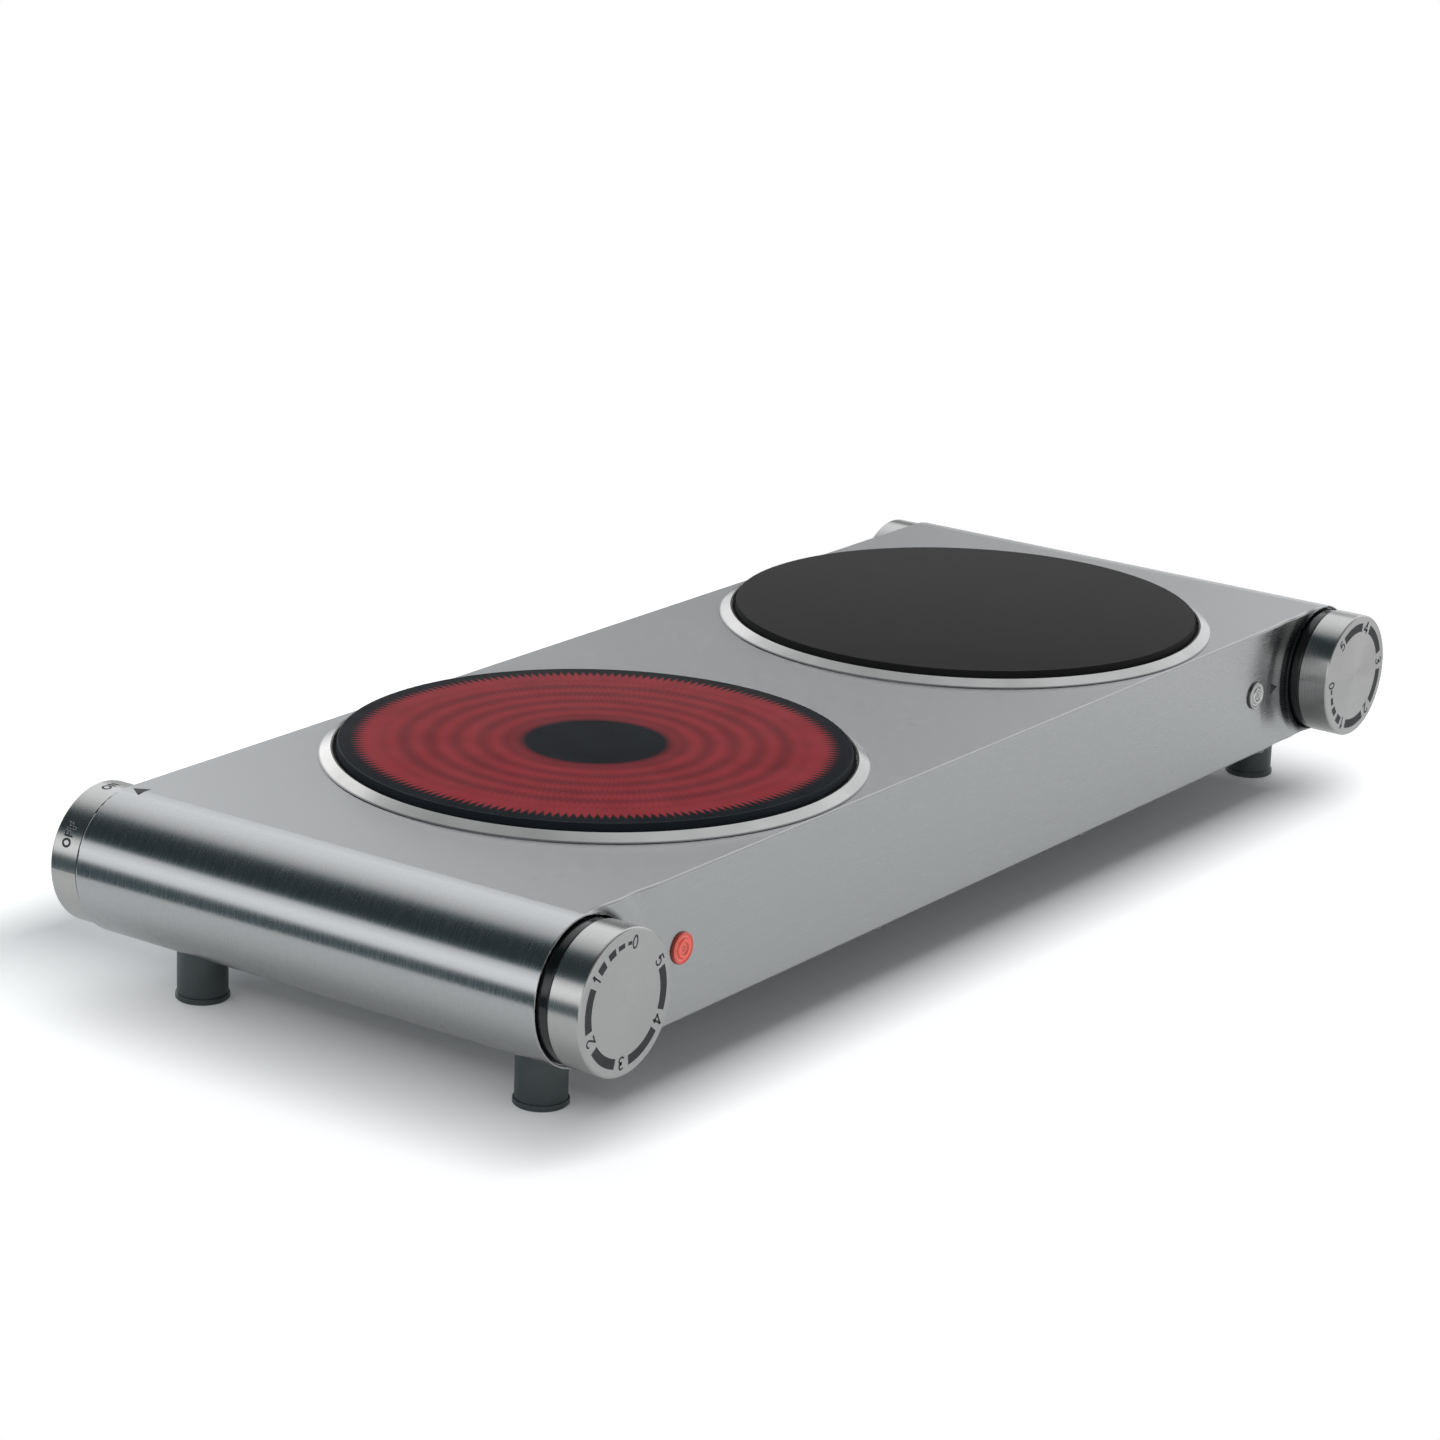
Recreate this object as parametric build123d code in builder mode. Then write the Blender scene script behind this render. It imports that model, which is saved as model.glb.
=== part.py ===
"""Double ceramic-glass hot plate: one STEP file for each separate piece.

Millimetres. X runs along the long side, Y from front to back, Z up.
The origin is on the table, in the middle of the overall length and depth.
"""

import os
from math import hypot

from build123d import *

os.makedirs("parts", exist_ok=True)

# ---- body -------------------------------------------------------------------
BODY_DEPTH = 193.6
FRONT_KNOB_REACH = 16.6      # knob face in front of the front panel
REAR_KNOB_REACH = 12.2       # cap face behind the rear panel
OVERALL_DEPTH = BODY_DEPTH + FRONT_KNOB_REACH + REAR_KNOB_REACH
FRONT_Y = FRONT_KNOB_REACH - OVERALL_DEPTH / 2
REAR_Y = OVERALL_DEPTH / 2 - REAR_KNOB_REACH
MID_Y = (FRONT_Y + REAR_Y) / 2
BODY_BOTTOM = 21.0
BODY_TOP = 71.5
END_R = (BODY_TOP - BODY_BOTTOM) / 2
AXIS_Z = (BODY_TOP + BODY_BOTTOM) / 2
KNOB_X = 241.75              # axis of each rolled end
SHEET = 1.2                  # top, roll and floor thickness
WALL = 1.5                   # front and rear panel thickness
EDGE_R = 1.0                 # bend radius of the panel edges
FLANGE = 9.0                 # return flange round the open underside
FLOOR_END_X = 222.0          # the rolled ends keep a floor beyond this
OPENING_CORNER_R = 6.0
TOLERANCE = 0.02             # for telling edges apart

# ---- knob collars in the front panel ---------------------------------------
LIP_BORE_R = 24.4
LIP_ROUND = 0.4               # rounding of the lip's two edges
LIP_HEIGHT = 0.1
DISH_R = 47.0
DISH_DEPTH = 0.7
DISH_TURN = 4.5               # from the bore to where the dish starts to level out
DISH_TURN_SHARE = 0.55        # share of the full depth reached there
DISH_LEVEL = 10.0             # from the bore to the deepest ring

# ---- burners ----------------------------------------------------------------
LEFT_X = -109.5
RIGHT_X = 128.5
BURNERS = {"left": LEFT_X, "right": RIGHT_X}
BURNER_HOLE_R = 88.0
RING_R = 95.7
RING_INNER_R = 91.0
RING_LEDGE_R = 84.5
RING_RISE = 2.8              # inner rim above the top plate
RING_SHEET = 0.6
RING_CREST = 0.6             # flat width of the inner rim
RING_WALL = 0.4
RING_FOOT = 1.2
RING_EDGE_H = 0.3
GASKET_T = 0.6
GASKET_R = RING_INNER_R - 0.2      # shows as a dark groove round the glass
GASKET_BORE_R = RING_LEDGE_R + 0.8
GLASS_R = 89.5
GLASS_T = 4.0
GLASS_EDGE_R = 0.45
GLASS_CHAMFER = 0.4
GLASS_Z = BODY_TOP + RING_SHEET + GASKET_T

# ---- heaters ----------------------------------------------------------------
PAN_R = 84.0
PAN_Z = 50.5
PAN_HEIGHT = 17.0
PAN_SHEET = 0.8
PAN_EDGE_R = 0.56
INSULATION_R = 83.0
INSULATION_BORE_R = 80.0
INSULATION_FLOOR_Z = 62.0
INSULATION_TOP_Z = 72.5
RIBBON_OUTER_R = 78.0
RIBBON_STEP = 9.0
RIBBON_TURNS = 6
RIBBON_T = 1.0
RIBBON_HEIGHT = 5.0
RIBBON_GAP = 10.0            # break in each turn, where the turns are linked
ROD_R = 1.2
ROD_Z = 69.2
ROD_NOTCH_GAP = 0.3
ROD_REACH = 65.0             # rod end beyond the burner's centre
ROD_ROOT = 1.0               # rod start inside the limiter's head
LIMITER_LENGTH = 22.0
LIMITER_WIDTH = 16.0
LIMITER_HEIGHT = 14.0
LIMITER_TOP_Z = 70.0
LIMITER_CORNER_R = 1.5
SUPPORT_WIDTH = 26.0
SUPPORT_LEG_Y = 80.0
SUPPORT_SHEET = 1.2
SUPPORT_TAB = 12.0
SUPPORT_SCREW_Y = SUPPORT_LEG_Y - 7.0

# ---- underside --------------------------------------------------------------
BASE_T = 0.8
BASE_Z = BODY_BOTTOM - BASE_T
BASE_HALF_LENGTH = 241.0
BASE_EDGE = 2.5              # base plate inset from the panels
BASE_CORNER_R = 7.0
VENT_LENGTH = 22.0
VENT_WIDTH = 4.0
VENT_PITCH_X = 30.0
VENT_PITCH_Y = 13.0
VENT_COLUMNS = 3
VENT_ROWS = 7
FOOT_X = 232.5
FOOT_FRONT_Y = MID_Y - 74.0
FOOT_REAR_Y = MID_Y + 71.0
FOOT_R = 8.7
FOOT_PAD_R = 9.3
FOOT_PAD_H = 2.2
FOOT_PAD_CHAMFER = 0.5
FOOT_PAD_ROUND = 0.4
FOOT_FLARE_H = 4.0
FOOT_TOP_R = 9.8
FOOT_RECESS_R = 4.6
FOOT_RECESS_H = 14.5
SHIELD_X = 217.0
SHIELD_HALF_Y = 80.0
SHIELD_TOP_Z = 69.0
SHIELD_T = 1.0
SHIELD_TAB = 10.0

# ---- controls, measured inwards from a panel's outer face -------------------
CAP_R = 24.3
CAP_SHELL = 1.0
CAP_EDGE_R = 0.9
FRONT_CAP_RIM = 4.6          # cap rim in front of the front panel
REAR_CAP_RIM = 0.6
HUB_R = 23.2
HUB_WEB = 2.0
HUB_SKIRT_T = 1.5
HUB_BOSS_R = 7.0
HUB_RIB_T = 1.2
HUB_RIB_H = 2.5
SHAFT_R = 3.0
SHAFT_CLEARANCE = 0.06
NECK_R = 5.0
NECK_HOLE_R = 5.2
NUT_AF = 14.0
NUT_H = 3.0
BEZEL_R = 23.8
BEZEL_BORE_R = 20.5
BEZEL_REACH = 4.2
BEZEL_WEB_DEPTH = 4.5
BEZEL_WEB_T = 1.5
BEZEL_EDGE_R = 0.8
BRACKET_T = 1.5
BRACKET_R = 23.4
BRACKET_FOOT = 10.0
BRACKET_FOOT_GAP = 1.5       # between the foot and the floor opening
CONTROL_CORNER_R = 2.0
REGULATOR_SIZE = 30.0
REGULATOR_DEPTH = 24.0
REGULATOR_NECK = 7.0
REGULATOR_BORE = 20.0
SWITCH_SIZE = 26.0
SWITCH_DEPTH = 20.0
SWITCH_NECK = 5.5
SWITCH_BORE = 17.0
TERMINAL_T = 0.8
TERMINAL_WIDTH = 6.3
TERMINAL_LENGTH = 5.0
FRONT_SHAFT_START = 4.0      # from the cap's face
FRONT_SHAFT_END = FRONT_KNOB_REACH + 18.0
FRONT_BOSS_END = FRONT_KNOB_REACH - 1.0
REAR_SHAFT_START = 3.2
REAR_SHAFT_END = REAR_KNOB_REACH + 12.0
REAR_BOSS_END = REAR_KNOB_REACH - 5.0
FRONT_SKIRT_GAP = 0.6        # hub skirt set back from the cap's rim
REAR_SKIRT_GAP = 0.4
PLUG_BARB = 1.2
PLUG_BARB_T = 2.0

# ---- indicator lamps --------------------------------------------------------
LENS_X = 190.0
LENS_R = 5.5
LENS_STEM_R = 4.4
LENS_HOLE_R = 4.6
LENS_REACH = 1.5
LENS_EDGE_R = 1.1
LENS_STEM_LENGTH = 6.0
LAMP_R = 5.2
LAMP_DEPTH = 24.0
LAMP_PIN_PITCH = 5.0
LAMP_PIN_WIDTH = 4.0
LAMP_PIN_LENGTH = 6.0

# ---- fasteners --------------------------------------------------------------
FOOT_SCREW_R = 2.0
FOOT_SCREW_HEAD = (3.8, 2.4)         # head radius and height
FOOT_SCREW_TIP_Z = 27.0
BASE_SCREW_R = 1.45
BASE_SCREW_HEAD = (3.0, 1.8)
BASE_SCREW_TIP_Z = 24.0
BASE_SCREW_COLUMNS = (-205.0, -68.0, 68.0, 205.0)
BASE_SCREW_INSET = 5.5
SUPPORT_SCREW_R = 1.9
SUPPORT_SCREW_HEAD = (3.6, 2.0)
SUPPORT_SCREW_TIP_Z = 25.0
BRACKET_SCREW_R = 1.5
BRACKET_SCREW_HEAD = (2.8, 1.9)
BRACKET_SCREW_X = (-14.5, -5.0)      # from the knob axis, towards the middle
BRACKET_SCREW_Y = FRONT_Y + 13.0
CROSS_WIDTH = 0.24                   # cross recess, as a share of the head radius
CROSS_LENGTH = 1.1
CROSS_DEPTH = 0.5                    # as a share of the head height
HEAD_ROUND = 0.45                    # edge rounding, as a share of the head height

# ---- supply -----------------------------------------------------------------
GLAND_X = 10.0
GLAND_Z = 38.0
GLAND_BORE_R = 3.8
GLAND_R = 6.0
GLAND_FLANGE_R = 9.0
GLAND_FLANGE_T = 3.0
GLAND_EDGE_R = 1.0
GLAND_LENGTH = 10.0
GLAND_NUT_AF = 18.0
GLAND_NUT_H = 4.0
BLOCK_X = 10.0
BLOCK_Y = 72.0
BLOCK_Z = BODY_BOTTOM
BLOCK_LENGTH = 44.0
BLOCK_WIDTH = 20.0
BLOCK_HEIGHT = 18.0
BLOCK_CORNER_R = 1.5
BLOCK_POLE_PITCH = 14.0
BLOCK_ROW_PITCH = 9.0
BLOCK_WELL_R = 2.6
BLOCK_WELL_DEPTH = 5.0
WIRE_R = 1.3
WIRE_Z = 31.0
WIRE_REAR_Y = MID_Y + 86.0
WIRE_FRONT_Y = MID_Y - 86.3
WIRE_FRONT_Z = WIRE_Z + 4.0
WIRE_RUN_INSET = 7.0         # front-to-back run, from the knob axis
WIRE_LEAD = 8.0              # straight out of the terminal block
WIRE_STUB = 5.0              # last run into a control's side
WIRE_REGULATOR_Y = WIRE_FRONT_Y + 12.0


# ---- helpers ----------------------------------------------------------------
def save(builder, name):
    """Name a finished piece and write its STEP file."""
    builder.part.label = name
    export_step(builder.part, f"parts/{name}.step")


def facing_front(y, x=0.0, z=AXIS_Z):
    """Plane at depth y whose normal points to the front."""
    return Plane(origin=(x, y, z), x_dir=(1, 0, 0), z_dir=(0, -1, 0))


def facing_rear(y, x=0.0, z=AXIS_Z):
    """Plane at depth y whose normal points to the rear."""
    return Plane(origin=(x, y, z), x_dir=(-1, 0, 0), z_dir=(0, 1, 0))


def knob_axis(x):
    """Turning axis of the control at x."""
    return Axis((x, 0, AXIS_Z), (0, 1, 0))


def side(x):
    """-1 on the left, +1 on the right."""
    return 1 if x > 0 else -1


# ---- top housing ------------------------------------------------------------
def on_front_outline(edge):
    """True for the edges where the front panel bends into the body's skin."""
    middle = edge @ 0.5
    across = max(0.0, abs(middle.X) - KNOB_X)
    radius = hypot(across, middle.Z - AXIS_Z)
    return middle.Y < FRONT_Y + WALL / 2 and abs(radius - END_R) < TOLERANCE


def make_collar(x):
    """Dished ring of front panel round one knob opening, with its raised lip."""
    section = Plane(origin=(x, FRONT_Y, AXIS_Z), x_dir=(1, 0, 0), z_dir=(0, 0, 1))
    with BuildPart() as collar:
        with BuildSketch(section):
            with BuildLine():
                inner = Line((LIP_BORE_R, WALL), (LIP_BORE_R, LIP_ROUND - LIP_HEIGHT))
                crest = ThreePointArc(
                    inner @ 1,
                    (LIP_BORE_R + LIP_ROUND, -LIP_HEIGHT),
                    (LIP_BORE_R + 2 * LIP_ROUND, LIP_ROUND - LIP_HEIGHT),
                )
                dish = Spline(
                    crest @ 1,
                    (LIP_BORE_R + DISH_TURN, DISH_DEPTH * DISH_TURN_SHARE),
                    (LIP_BORE_R + DISH_LEVEL, DISH_DEPTH),
                    (DISH_R, 0),
                    tangents=[(0.5, 1.0), (1.0, 0.0)],
                )
                outer = Line(dish @ 1, (DISH_R, WALL))
                Line(outer @ 1, inner @ 0)
            make_face()
        revolve(axis=knob_axis(x))
        with BuildSketch(facing_front(FRONT_Y + WALL)):
            SlotCenterToCenter(2 * KNOB_X, 2 * END_R)
        extrude(amount=WALL + LIP_HEIGHT + 1, mode=Mode.INTERSECT)
    return collar.part


def make_top_housing():
    """Rolled and folded stainless body, open underneath."""
    collars = [make_collar(-KNOB_X), make_collar(KNOB_X)]
    with BuildPart() as housing:
        with BuildSketch(facing_front(REAR_Y)):
            SlotCenterToCenter(2 * KNOB_X, 2 * END_R)
        extrude(amount=BODY_DEPTH)
        fillet(housing.faces().sort_by(Axis.Y)[-1].edges(), EDGE_R)

        with BuildSketch(facing_front(REAR_Y - WALL)):
            SlotCenterToCenter(2 * KNOB_X, 2 * (END_R - SHEET))
        extrude(amount=BODY_DEPTH - 2 * WALL, mode=Mode.SUBTRACT)

        with BuildSketch(facing_front(FRONT_Y + WALL)):
            with Locations((-KNOB_X, 0), (KNOB_X, 0)):
                Circle(DISH_R)
        extrude(amount=WALL, mode=Mode.SUBTRACT)
        add(collars)

        with BuildSketch(Plane.XY.offset(BODY_BOTTOM)):
            with Locations((0, MID_Y)):
                RectangleRounded(2 * FLOOR_END_X, BODY_DEPTH - 2 * FLANGE, OPENING_CORNER_R)
        extrude(amount=SHEET, mode=Mode.SUBTRACT)

        with BuildSketch(Plane.XY.offset(BODY_TOP - SHEET)):
            with Locations((LEFT_X, MID_Y), (RIGHT_X, MID_Y)):
                Circle(BURNER_HOLE_R)
        extrude(amount=SHEET, mode=Mode.SUBTRACT)

        with BuildSketch(facing_front(FRONT_Y + WALL)):
            with Locations((-LENS_X, 0), (LENS_X, 0)):
                Circle(LENS_HOLE_R)
        extrude(amount=WALL + LIP_HEIGHT, mode=Mode.SUBTRACT)

        with BuildSketch(facing_front(REAR_Y)):
            with Locations((-KNOB_X, 0), (KNOB_X, 0)):
                Circle(NECK_HOLE_R)
            with Locations((GLAND_X, GLAND_Z - AXIS_Z)):
                Circle(GLAND_R)
        extrude(amount=WALL, mode=Mode.SUBTRACT)

        with BuildSketch(Plane.XY.offset(BODY_BOTTOM)):
            with Locations(*foot_points()):
                Circle(FOOT_SCREW_R)
            with Locations(*base_screw_points()):
                Circle(BASE_SCREW_R)
            with Locations(*bracket_screw_points()):
                Circle(BRACKET_SCREW_R)
        extrude(amount=SHEET, mode=Mode.SUBTRACT)
        fillet(housing.edges().filter_by(on_front_outline), EDGE_R)
    save(housing, "top_housing")


# ---- fastener positions -----------------------------------------------------
def foot_points():
    """Centres of the four feet."""
    return [(sx * FOOT_X, y) for sx in (-1, 1) for y in (FOOT_FRONT_Y, FOOT_REAR_Y)]


def base_screw_points():
    """Screws that hold the base plate to the return flange."""
    rows = (FRONT_Y + BASE_SCREW_INSET, REAR_Y - BASE_SCREW_INSET)
    return [(x, y) for x in BASE_SCREW_COLUMNS for y in rows]


def bracket_screw_points():
    """Screws that hold the two front brackets to the floor."""
    return [(sx * (KNOB_X + dx), BRACKET_SCREW_Y) for sx in (-1, 1) for dx in BRACKET_SCREW_X]


def support_screw_points():
    """Screws that hold the heater supports to the base plate."""
    return [(x, MID_Y + sy * SUPPORT_SCREW_Y) for x in BURNERS.values() for sy in (-1, 1)]


def make_screws(name, points, seat_z, tip_z, shank_r, head):
    """Upright pan-head screws as one group of separate solids."""
    head_r, head_h = head
    up = 1 if tip_z > seat_z else -1
    with BuildPart() as screws:
        with BuildSketch(Plane.XY.offset(seat_z)):
            with Locations(*points):
                Circle(shank_r)
        extrude(amount=tip_z - seat_z)
        with BuildSketch(Plane.XY.offset(seat_z)):
            with Locations(*points):
                Circle(head_r)
        extrude(amount=-up * head_h)
        ends = screws.faces().filter_by(Axis.Z).group_by(Axis.Z)
        outer = ends[0] if up > 0 else ends[-1]
        fillet(outer.edges().filter_by(GeomType.CIRCLE), head_h * HEAD_ROUND)
        with BuildSketch(Plane.XY.offset(seat_z - up * head_h)):
            with Locations(*points):
                Rectangle(head_r * CROSS_LENGTH, head_r * CROSS_WIDTH)
                Rectangle(head_r * CROSS_WIDTH, head_r * CROSS_LENGTH)
        extrude(amount=up * head_h * CROSS_DEPTH, mode=Mode.SUBTRACT)
    save(screws, name)


# ---- underside --------------------------------------------------------------
def make_base_plate():
    """Flat steel cover with vent slots under each heater."""
    with BuildPart() as base_plate:
        with BuildSketch(Plane.XY.offset(BASE_Z)):
            with Locations((0, MID_Y)):
                RectangleRounded(2 * BASE_HALF_LENGTH, BODY_DEPTH - 2 * BASE_EDGE, BASE_CORNER_R)
            for x in BURNERS.values():
                with Locations((x, MID_Y)):
                    with GridLocations(VENT_PITCH_X, VENT_PITCH_Y, VENT_COLUMNS, VENT_ROWS):
                        SlotOverall(VENT_LENGTH, VENT_WIDTH, mode=Mode.SUBTRACT)
            with Locations(*foot_points()):
                Circle(FOOT_SCREW_R, mode=Mode.SUBTRACT)
            with Locations(*base_screw_points()):
                Circle(BASE_SCREW_R, mode=Mode.SUBTRACT)
            with Locations(*support_screw_points()):
                Circle(SUPPORT_SCREW_R, mode=Mode.SUBTRACT)
        extrude(amount=BASE_T)
    save(base_plate, "base_plate")


def make_foot(name, x, y):
    """Moulded foot: waisted post on a wider pad, screw recess underneath."""
    section = Plane(origin=(x, y, 0), x_dir=(1, 0, 0), z_dir=(0, -1, 0))
    with BuildPart() as foot:
        with BuildSketch(section):
            with BuildLine():
                pad = Polyline(
                    (0, 0),
                    (FOOT_PAD_R - FOOT_PAD_CHAMFER, 0),
                    (FOOT_PAD_R, FOOT_PAD_CHAMFER),
                    (FOOT_PAD_R, FOOT_PAD_H - FOOT_PAD_ROUND),
                )
                round_end = (FOOT_PAD_R - FOOT_PAD_ROUND, FOOT_PAD_H)
                step = TangentArc(pad @ 1, round_end, tangent=(0, 1))
                shelf = Line(step @ 1, (FOOT_R, FOOT_PAD_H))
                post = Line(shelf @ 1, (FOOT_R, BASE_Z - FOOT_FLARE_H))
                flare = Spline(post @ 1, (FOOT_TOP_R, BASE_Z), tangents=[(0, 1), (0.5, 1)])
                Polyline(flare @ 1, (0, BASE_Z), (0, 0))
            make_face()
        revolve(axis=Axis((x, y, 0), (0, 0, 1)))
        with BuildSketch(Plane.XY):
            with Locations((x, y)):
                Circle(FOOT_RECESS_R)
        extrude(amount=FOOT_RECESS_H, mode=Mode.SUBTRACT)
        with BuildSketch(Plane.XY):
            with Locations((x, y)):
                Circle(FOOT_SCREW_R)
        extrude(amount=BASE_Z, mode=Mode.SUBTRACT)
    save(foot, name)


def make_heat_shield(name, x):
    """Upright plate between a heater and the controls, with a foot tab."""
    inner = -side(x)
    section = Plane(origin=(x, MID_Y - SHIELD_HALF_Y, 0), x_dir=(1, 0, 0), z_dir=(0, -1, 0))
    with BuildPart() as shield:
        with BuildSketch(section):
            with BuildLine():
                Polyline(
                    (0, BODY_BOTTOM),
                    (inner * SHIELD_TAB, BODY_BOTTOM),
                    (inner * SHIELD_TAB, BODY_BOTTOM + SHIELD_T),
                    (inner * SHIELD_T, BODY_BOTTOM + SHIELD_T),
                    (inner * SHIELD_T, SHIELD_TOP_Z),
                    (0, SHIELD_TOP_Z),
                    (0, BODY_BOTTOM),
                )
            make_face()
        extrude(amount=-2 * SHIELD_HALF_Y)
    save(shield, name)


# ---- burners ----------------------------------------------------------------
def make_trim_ring(name, x):
    """Pressed sheet ring: ledge under the glass, rim, sloping skirt."""
    top = BODY_TOP + RING_RISE
    with BuildPart() as ring:
        with BuildSketch(Plane(origin=(x, MID_Y, 0), x_dir=(1, 0, 0), z_dir=(0, -1, 0))):
            with BuildLine():
                Polyline(
                    (RING_LEDGE_R, BODY_TOP),
                    (RING_INNER_R + RING_WALL, BODY_TOP),
                    (RING_INNER_R + RING_WALL, top - RING_FOOT),
                    (RING_R - RING_FOOT, BODY_TOP),
                    (RING_R, BODY_TOP),
                    (RING_R, BODY_TOP + RING_EDGE_H),
                    (RING_INNER_R + RING_CREST, top),
                    (RING_INNER_R, top),
                    (RING_INNER_R, BODY_TOP + RING_SHEET),
                    (RING_LEDGE_R, BODY_TOP + RING_SHEET),
                    (RING_LEDGE_R, BODY_TOP),
                )
            make_face()
        revolve(axis=Axis((x, MID_Y, 0), (0, 0, 1)))
    save(ring, name)


def make_gasket(name, x):
    """Flat heat-proof seal between the ring's ledge and the glass, filling the groove."""
    with BuildPart() as gasket:
        with BuildSketch(Plane.XY.offset(BODY_TOP + RING_SHEET)):
            with Locations((x, MID_Y)):
                Circle(GASKET_R)
                Circle(GASKET_BORE_R, mode=Mode.SUBTRACT)
        extrude(amount=GASKET_T)
    save(gasket, name)


def make_glass(name, x):
    """Ceramic-glass disc with rounded rim."""
    with BuildPart() as glass:
        with BuildSketch(Plane.XY.offset(GLASS_Z)):
            with Locations((x, MID_Y)):
                Circle(GLASS_R)
        extrude(amount=GLASS_T)
        fillet(glass.faces().sort_by(Axis.Z)[-1].edges(), GLASS_EDGE_R)
        chamfer(glass.faces().sort_by(Axis.Z)[0].edges(), GLASS_CHAMFER)
    save(glass, name)


def make_heater_pan(name, x):
    """Shallow steel dish under the insulation."""
    with BuildPart() as pan:
        with BuildSketch(Plane.XY.offset(PAN_Z)):
            with Locations((x, MID_Y)):
                Circle(PAN_R)
        extrude(amount=PAN_HEIGHT)
        with BuildSketch(Plane.XY.offset(PAN_Z + PAN_SHEET)):
            with Locations((x, MID_Y)):
                Circle(PAN_R - PAN_SHEET)
        extrude(amount=PAN_HEIGHT, mode=Mode.SUBTRACT)
        fillet(pan.faces().sort_by(Axis.Z)[0].edges(), PAN_EDGE_R)
    save(pan, name)


def make_insulation(name, x):
    """Insulating dish whose rim presses against the glass, notched for the rod."""
    floor_z = PAN_Z + PAN_SHEET
    with BuildPart() as dish:
        with BuildSketch(Plane.XY.offset(floor_z)):
            with Locations((x, MID_Y)):
                Circle(INSULATION_R)
        extrude(amount=INSULATION_TOP_Z - floor_z)
        with BuildSketch(Plane.XY.offset(INSULATION_FLOOR_Z)):
            with Locations((x, MID_Y)):
                Circle(INSULATION_BORE_R)
        extrude(amount=INSULATION_TOP_Z - INSULATION_FLOOR_Z, mode=Mode.SUBTRACT)
        with BuildSketch(Plane(origin=(x, MID_Y, ROD_Z), x_dir=(0, 1, 0), z_dir=(1, 0, 0))):
            Circle(ROD_R + ROD_NOTCH_GAP)
        extrude(amount=-side(x) * INSULATION_R, mode=Mode.SUBTRACT)
    save(dish, name)


def make_element(name, x):
    """Concentric ribbon turns joined end to end by short links."""
    radii = [RIBBON_OUTER_R - RIBBON_STEP * turn for turn in range(RIBBON_TURNS)]
    with BuildPart() as element:
        with BuildSketch(Plane.XY.offset(INSULATION_FLOOR_Z)):
            with Locations((x, MID_Y)):
                for radius in radii:
                    with BuildSketch(mode=Mode.PRIVATE) as turn:
                        Circle(radius)
                        Circle(radius - RIBBON_T, mode=Mode.SUBTRACT)
                        with Locations((radius, 0)):
                            Rectangle(4 * RIBBON_T, RIBBON_GAP, mode=Mode.SUBTRACT)
                    add(turn.sketch)
            for index, radius in enumerate(radii[:-1]):
                end = 1 if index % 2 else -1
                middle = radius - (RIBBON_STEP + RIBBON_T) / 2
                with Locations((x + middle, MID_Y + end * (RIBBON_GAP + RIBBON_T) / 2)):
                    Rectangle(RIBBON_STEP + RIBBON_T, RIBBON_T)
        extrude(amount=RIBBON_HEIGHT)
    save(element, name)


def make_limiter(name, x):
    """Over-temperature switch beside the pan, with its rod across the heater."""
    inward = -side(x)
    head_x = x + inward * (PAN_R + LIMITER_LENGTH / 2)
    rod_start = x + inward * (PAN_R + ROD_ROOT)
    rod_length = PAN_R + ROD_ROOT + ROD_REACH
    rod_plane = Plane(origin=(rod_start, MID_Y, ROD_Z), x_dir=(0, 1, 0), z_dir=(-inward, 0, 0))
    with BuildPart() as limiter:
        with BuildSketch(Plane.XY.offset(LIMITER_TOP_Z)):
            with Locations((head_x, MID_Y)):
                RectangleRounded(LIMITER_LENGTH, LIMITER_WIDTH, LIMITER_CORNER_R)
        extrude(amount=-LIMITER_HEIGHT)
        with BuildSketch(rod_plane):
            Circle(ROD_R)
        extrude(amount=rod_length)
    save(limiter, name)


def make_heater_support(name, x):
    """Bent strap that carries the pan above the base plate."""
    top = PAN_Z - SUPPORT_SHEET
    section = Plane(origin=(x - SUPPORT_WIDTH / 2, MID_Y, 0), x_dir=(0, 1, 0), z_dir=(1, 0, 0))
    with BuildPart() as support:
        with BuildSketch(section):
            with BuildLine():
                reach = SUPPORT_LEG_Y
                sheet = SUPPORT_SHEET
                foot = BODY_BOTTOM
                inner = reach - sheet
                tab = reach - SUPPORT_TAB
                Polyline(
                    (-reach, foot),
                    (-tab, foot),
                    (-tab, foot + sheet),
                    (-inner, foot + sheet),
                    (-inner, top),
                    (inner, top),
                    (inner, foot + sheet),
                    (tab, foot + sheet),
                    (tab, foot),
                    (reach, foot),
                    (reach, top + sheet),
                    (-reach, top + sheet),
                    (-reach, foot),
                )
            make_face()
        extrude(amount=SUPPORT_WIDTH)
        with BuildSketch(Plane.XY.offset(BODY_BOTTOM)):
            with Locations((x, MID_Y - SUPPORT_SCREW_Y), (x, MID_Y + SUPPORT_SCREW_Y)):
                Circle(SUPPORT_SCREW_R)
        extrude(amount=SUPPORT_SHEET, mode=Mode.SUBTRACT)
    save(support, name)


# ---- front controls ---------------------------------------------------------
def make_cap(name, face_plane, reach, rim):
    """Drawn steel cup; face_plane is the cap's outer face, its normal outwards."""
    depth = reach - rim
    with BuildPart() as cap:
        with BuildSketch(face_plane):
            Circle(CAP_R)
        extrude(amount=-depth)
        ends = cap.faces().filter_by(Axis.Y).sort_by(Axis.Y)
        outer_face = ends[0] if face_plane.z_dir.Y < 0 else ends[-1]
        fillet(outer_face.edges(), CAP_EDGE_R)
        with BuildSketch(face_plane.offset(-CAP_SHELL)):
            Circle(CAP_R - CAP_SHELL)
        extrude(amount=-depth, mode=Mode.SUBTRACT)
    save(cap, name)


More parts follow.
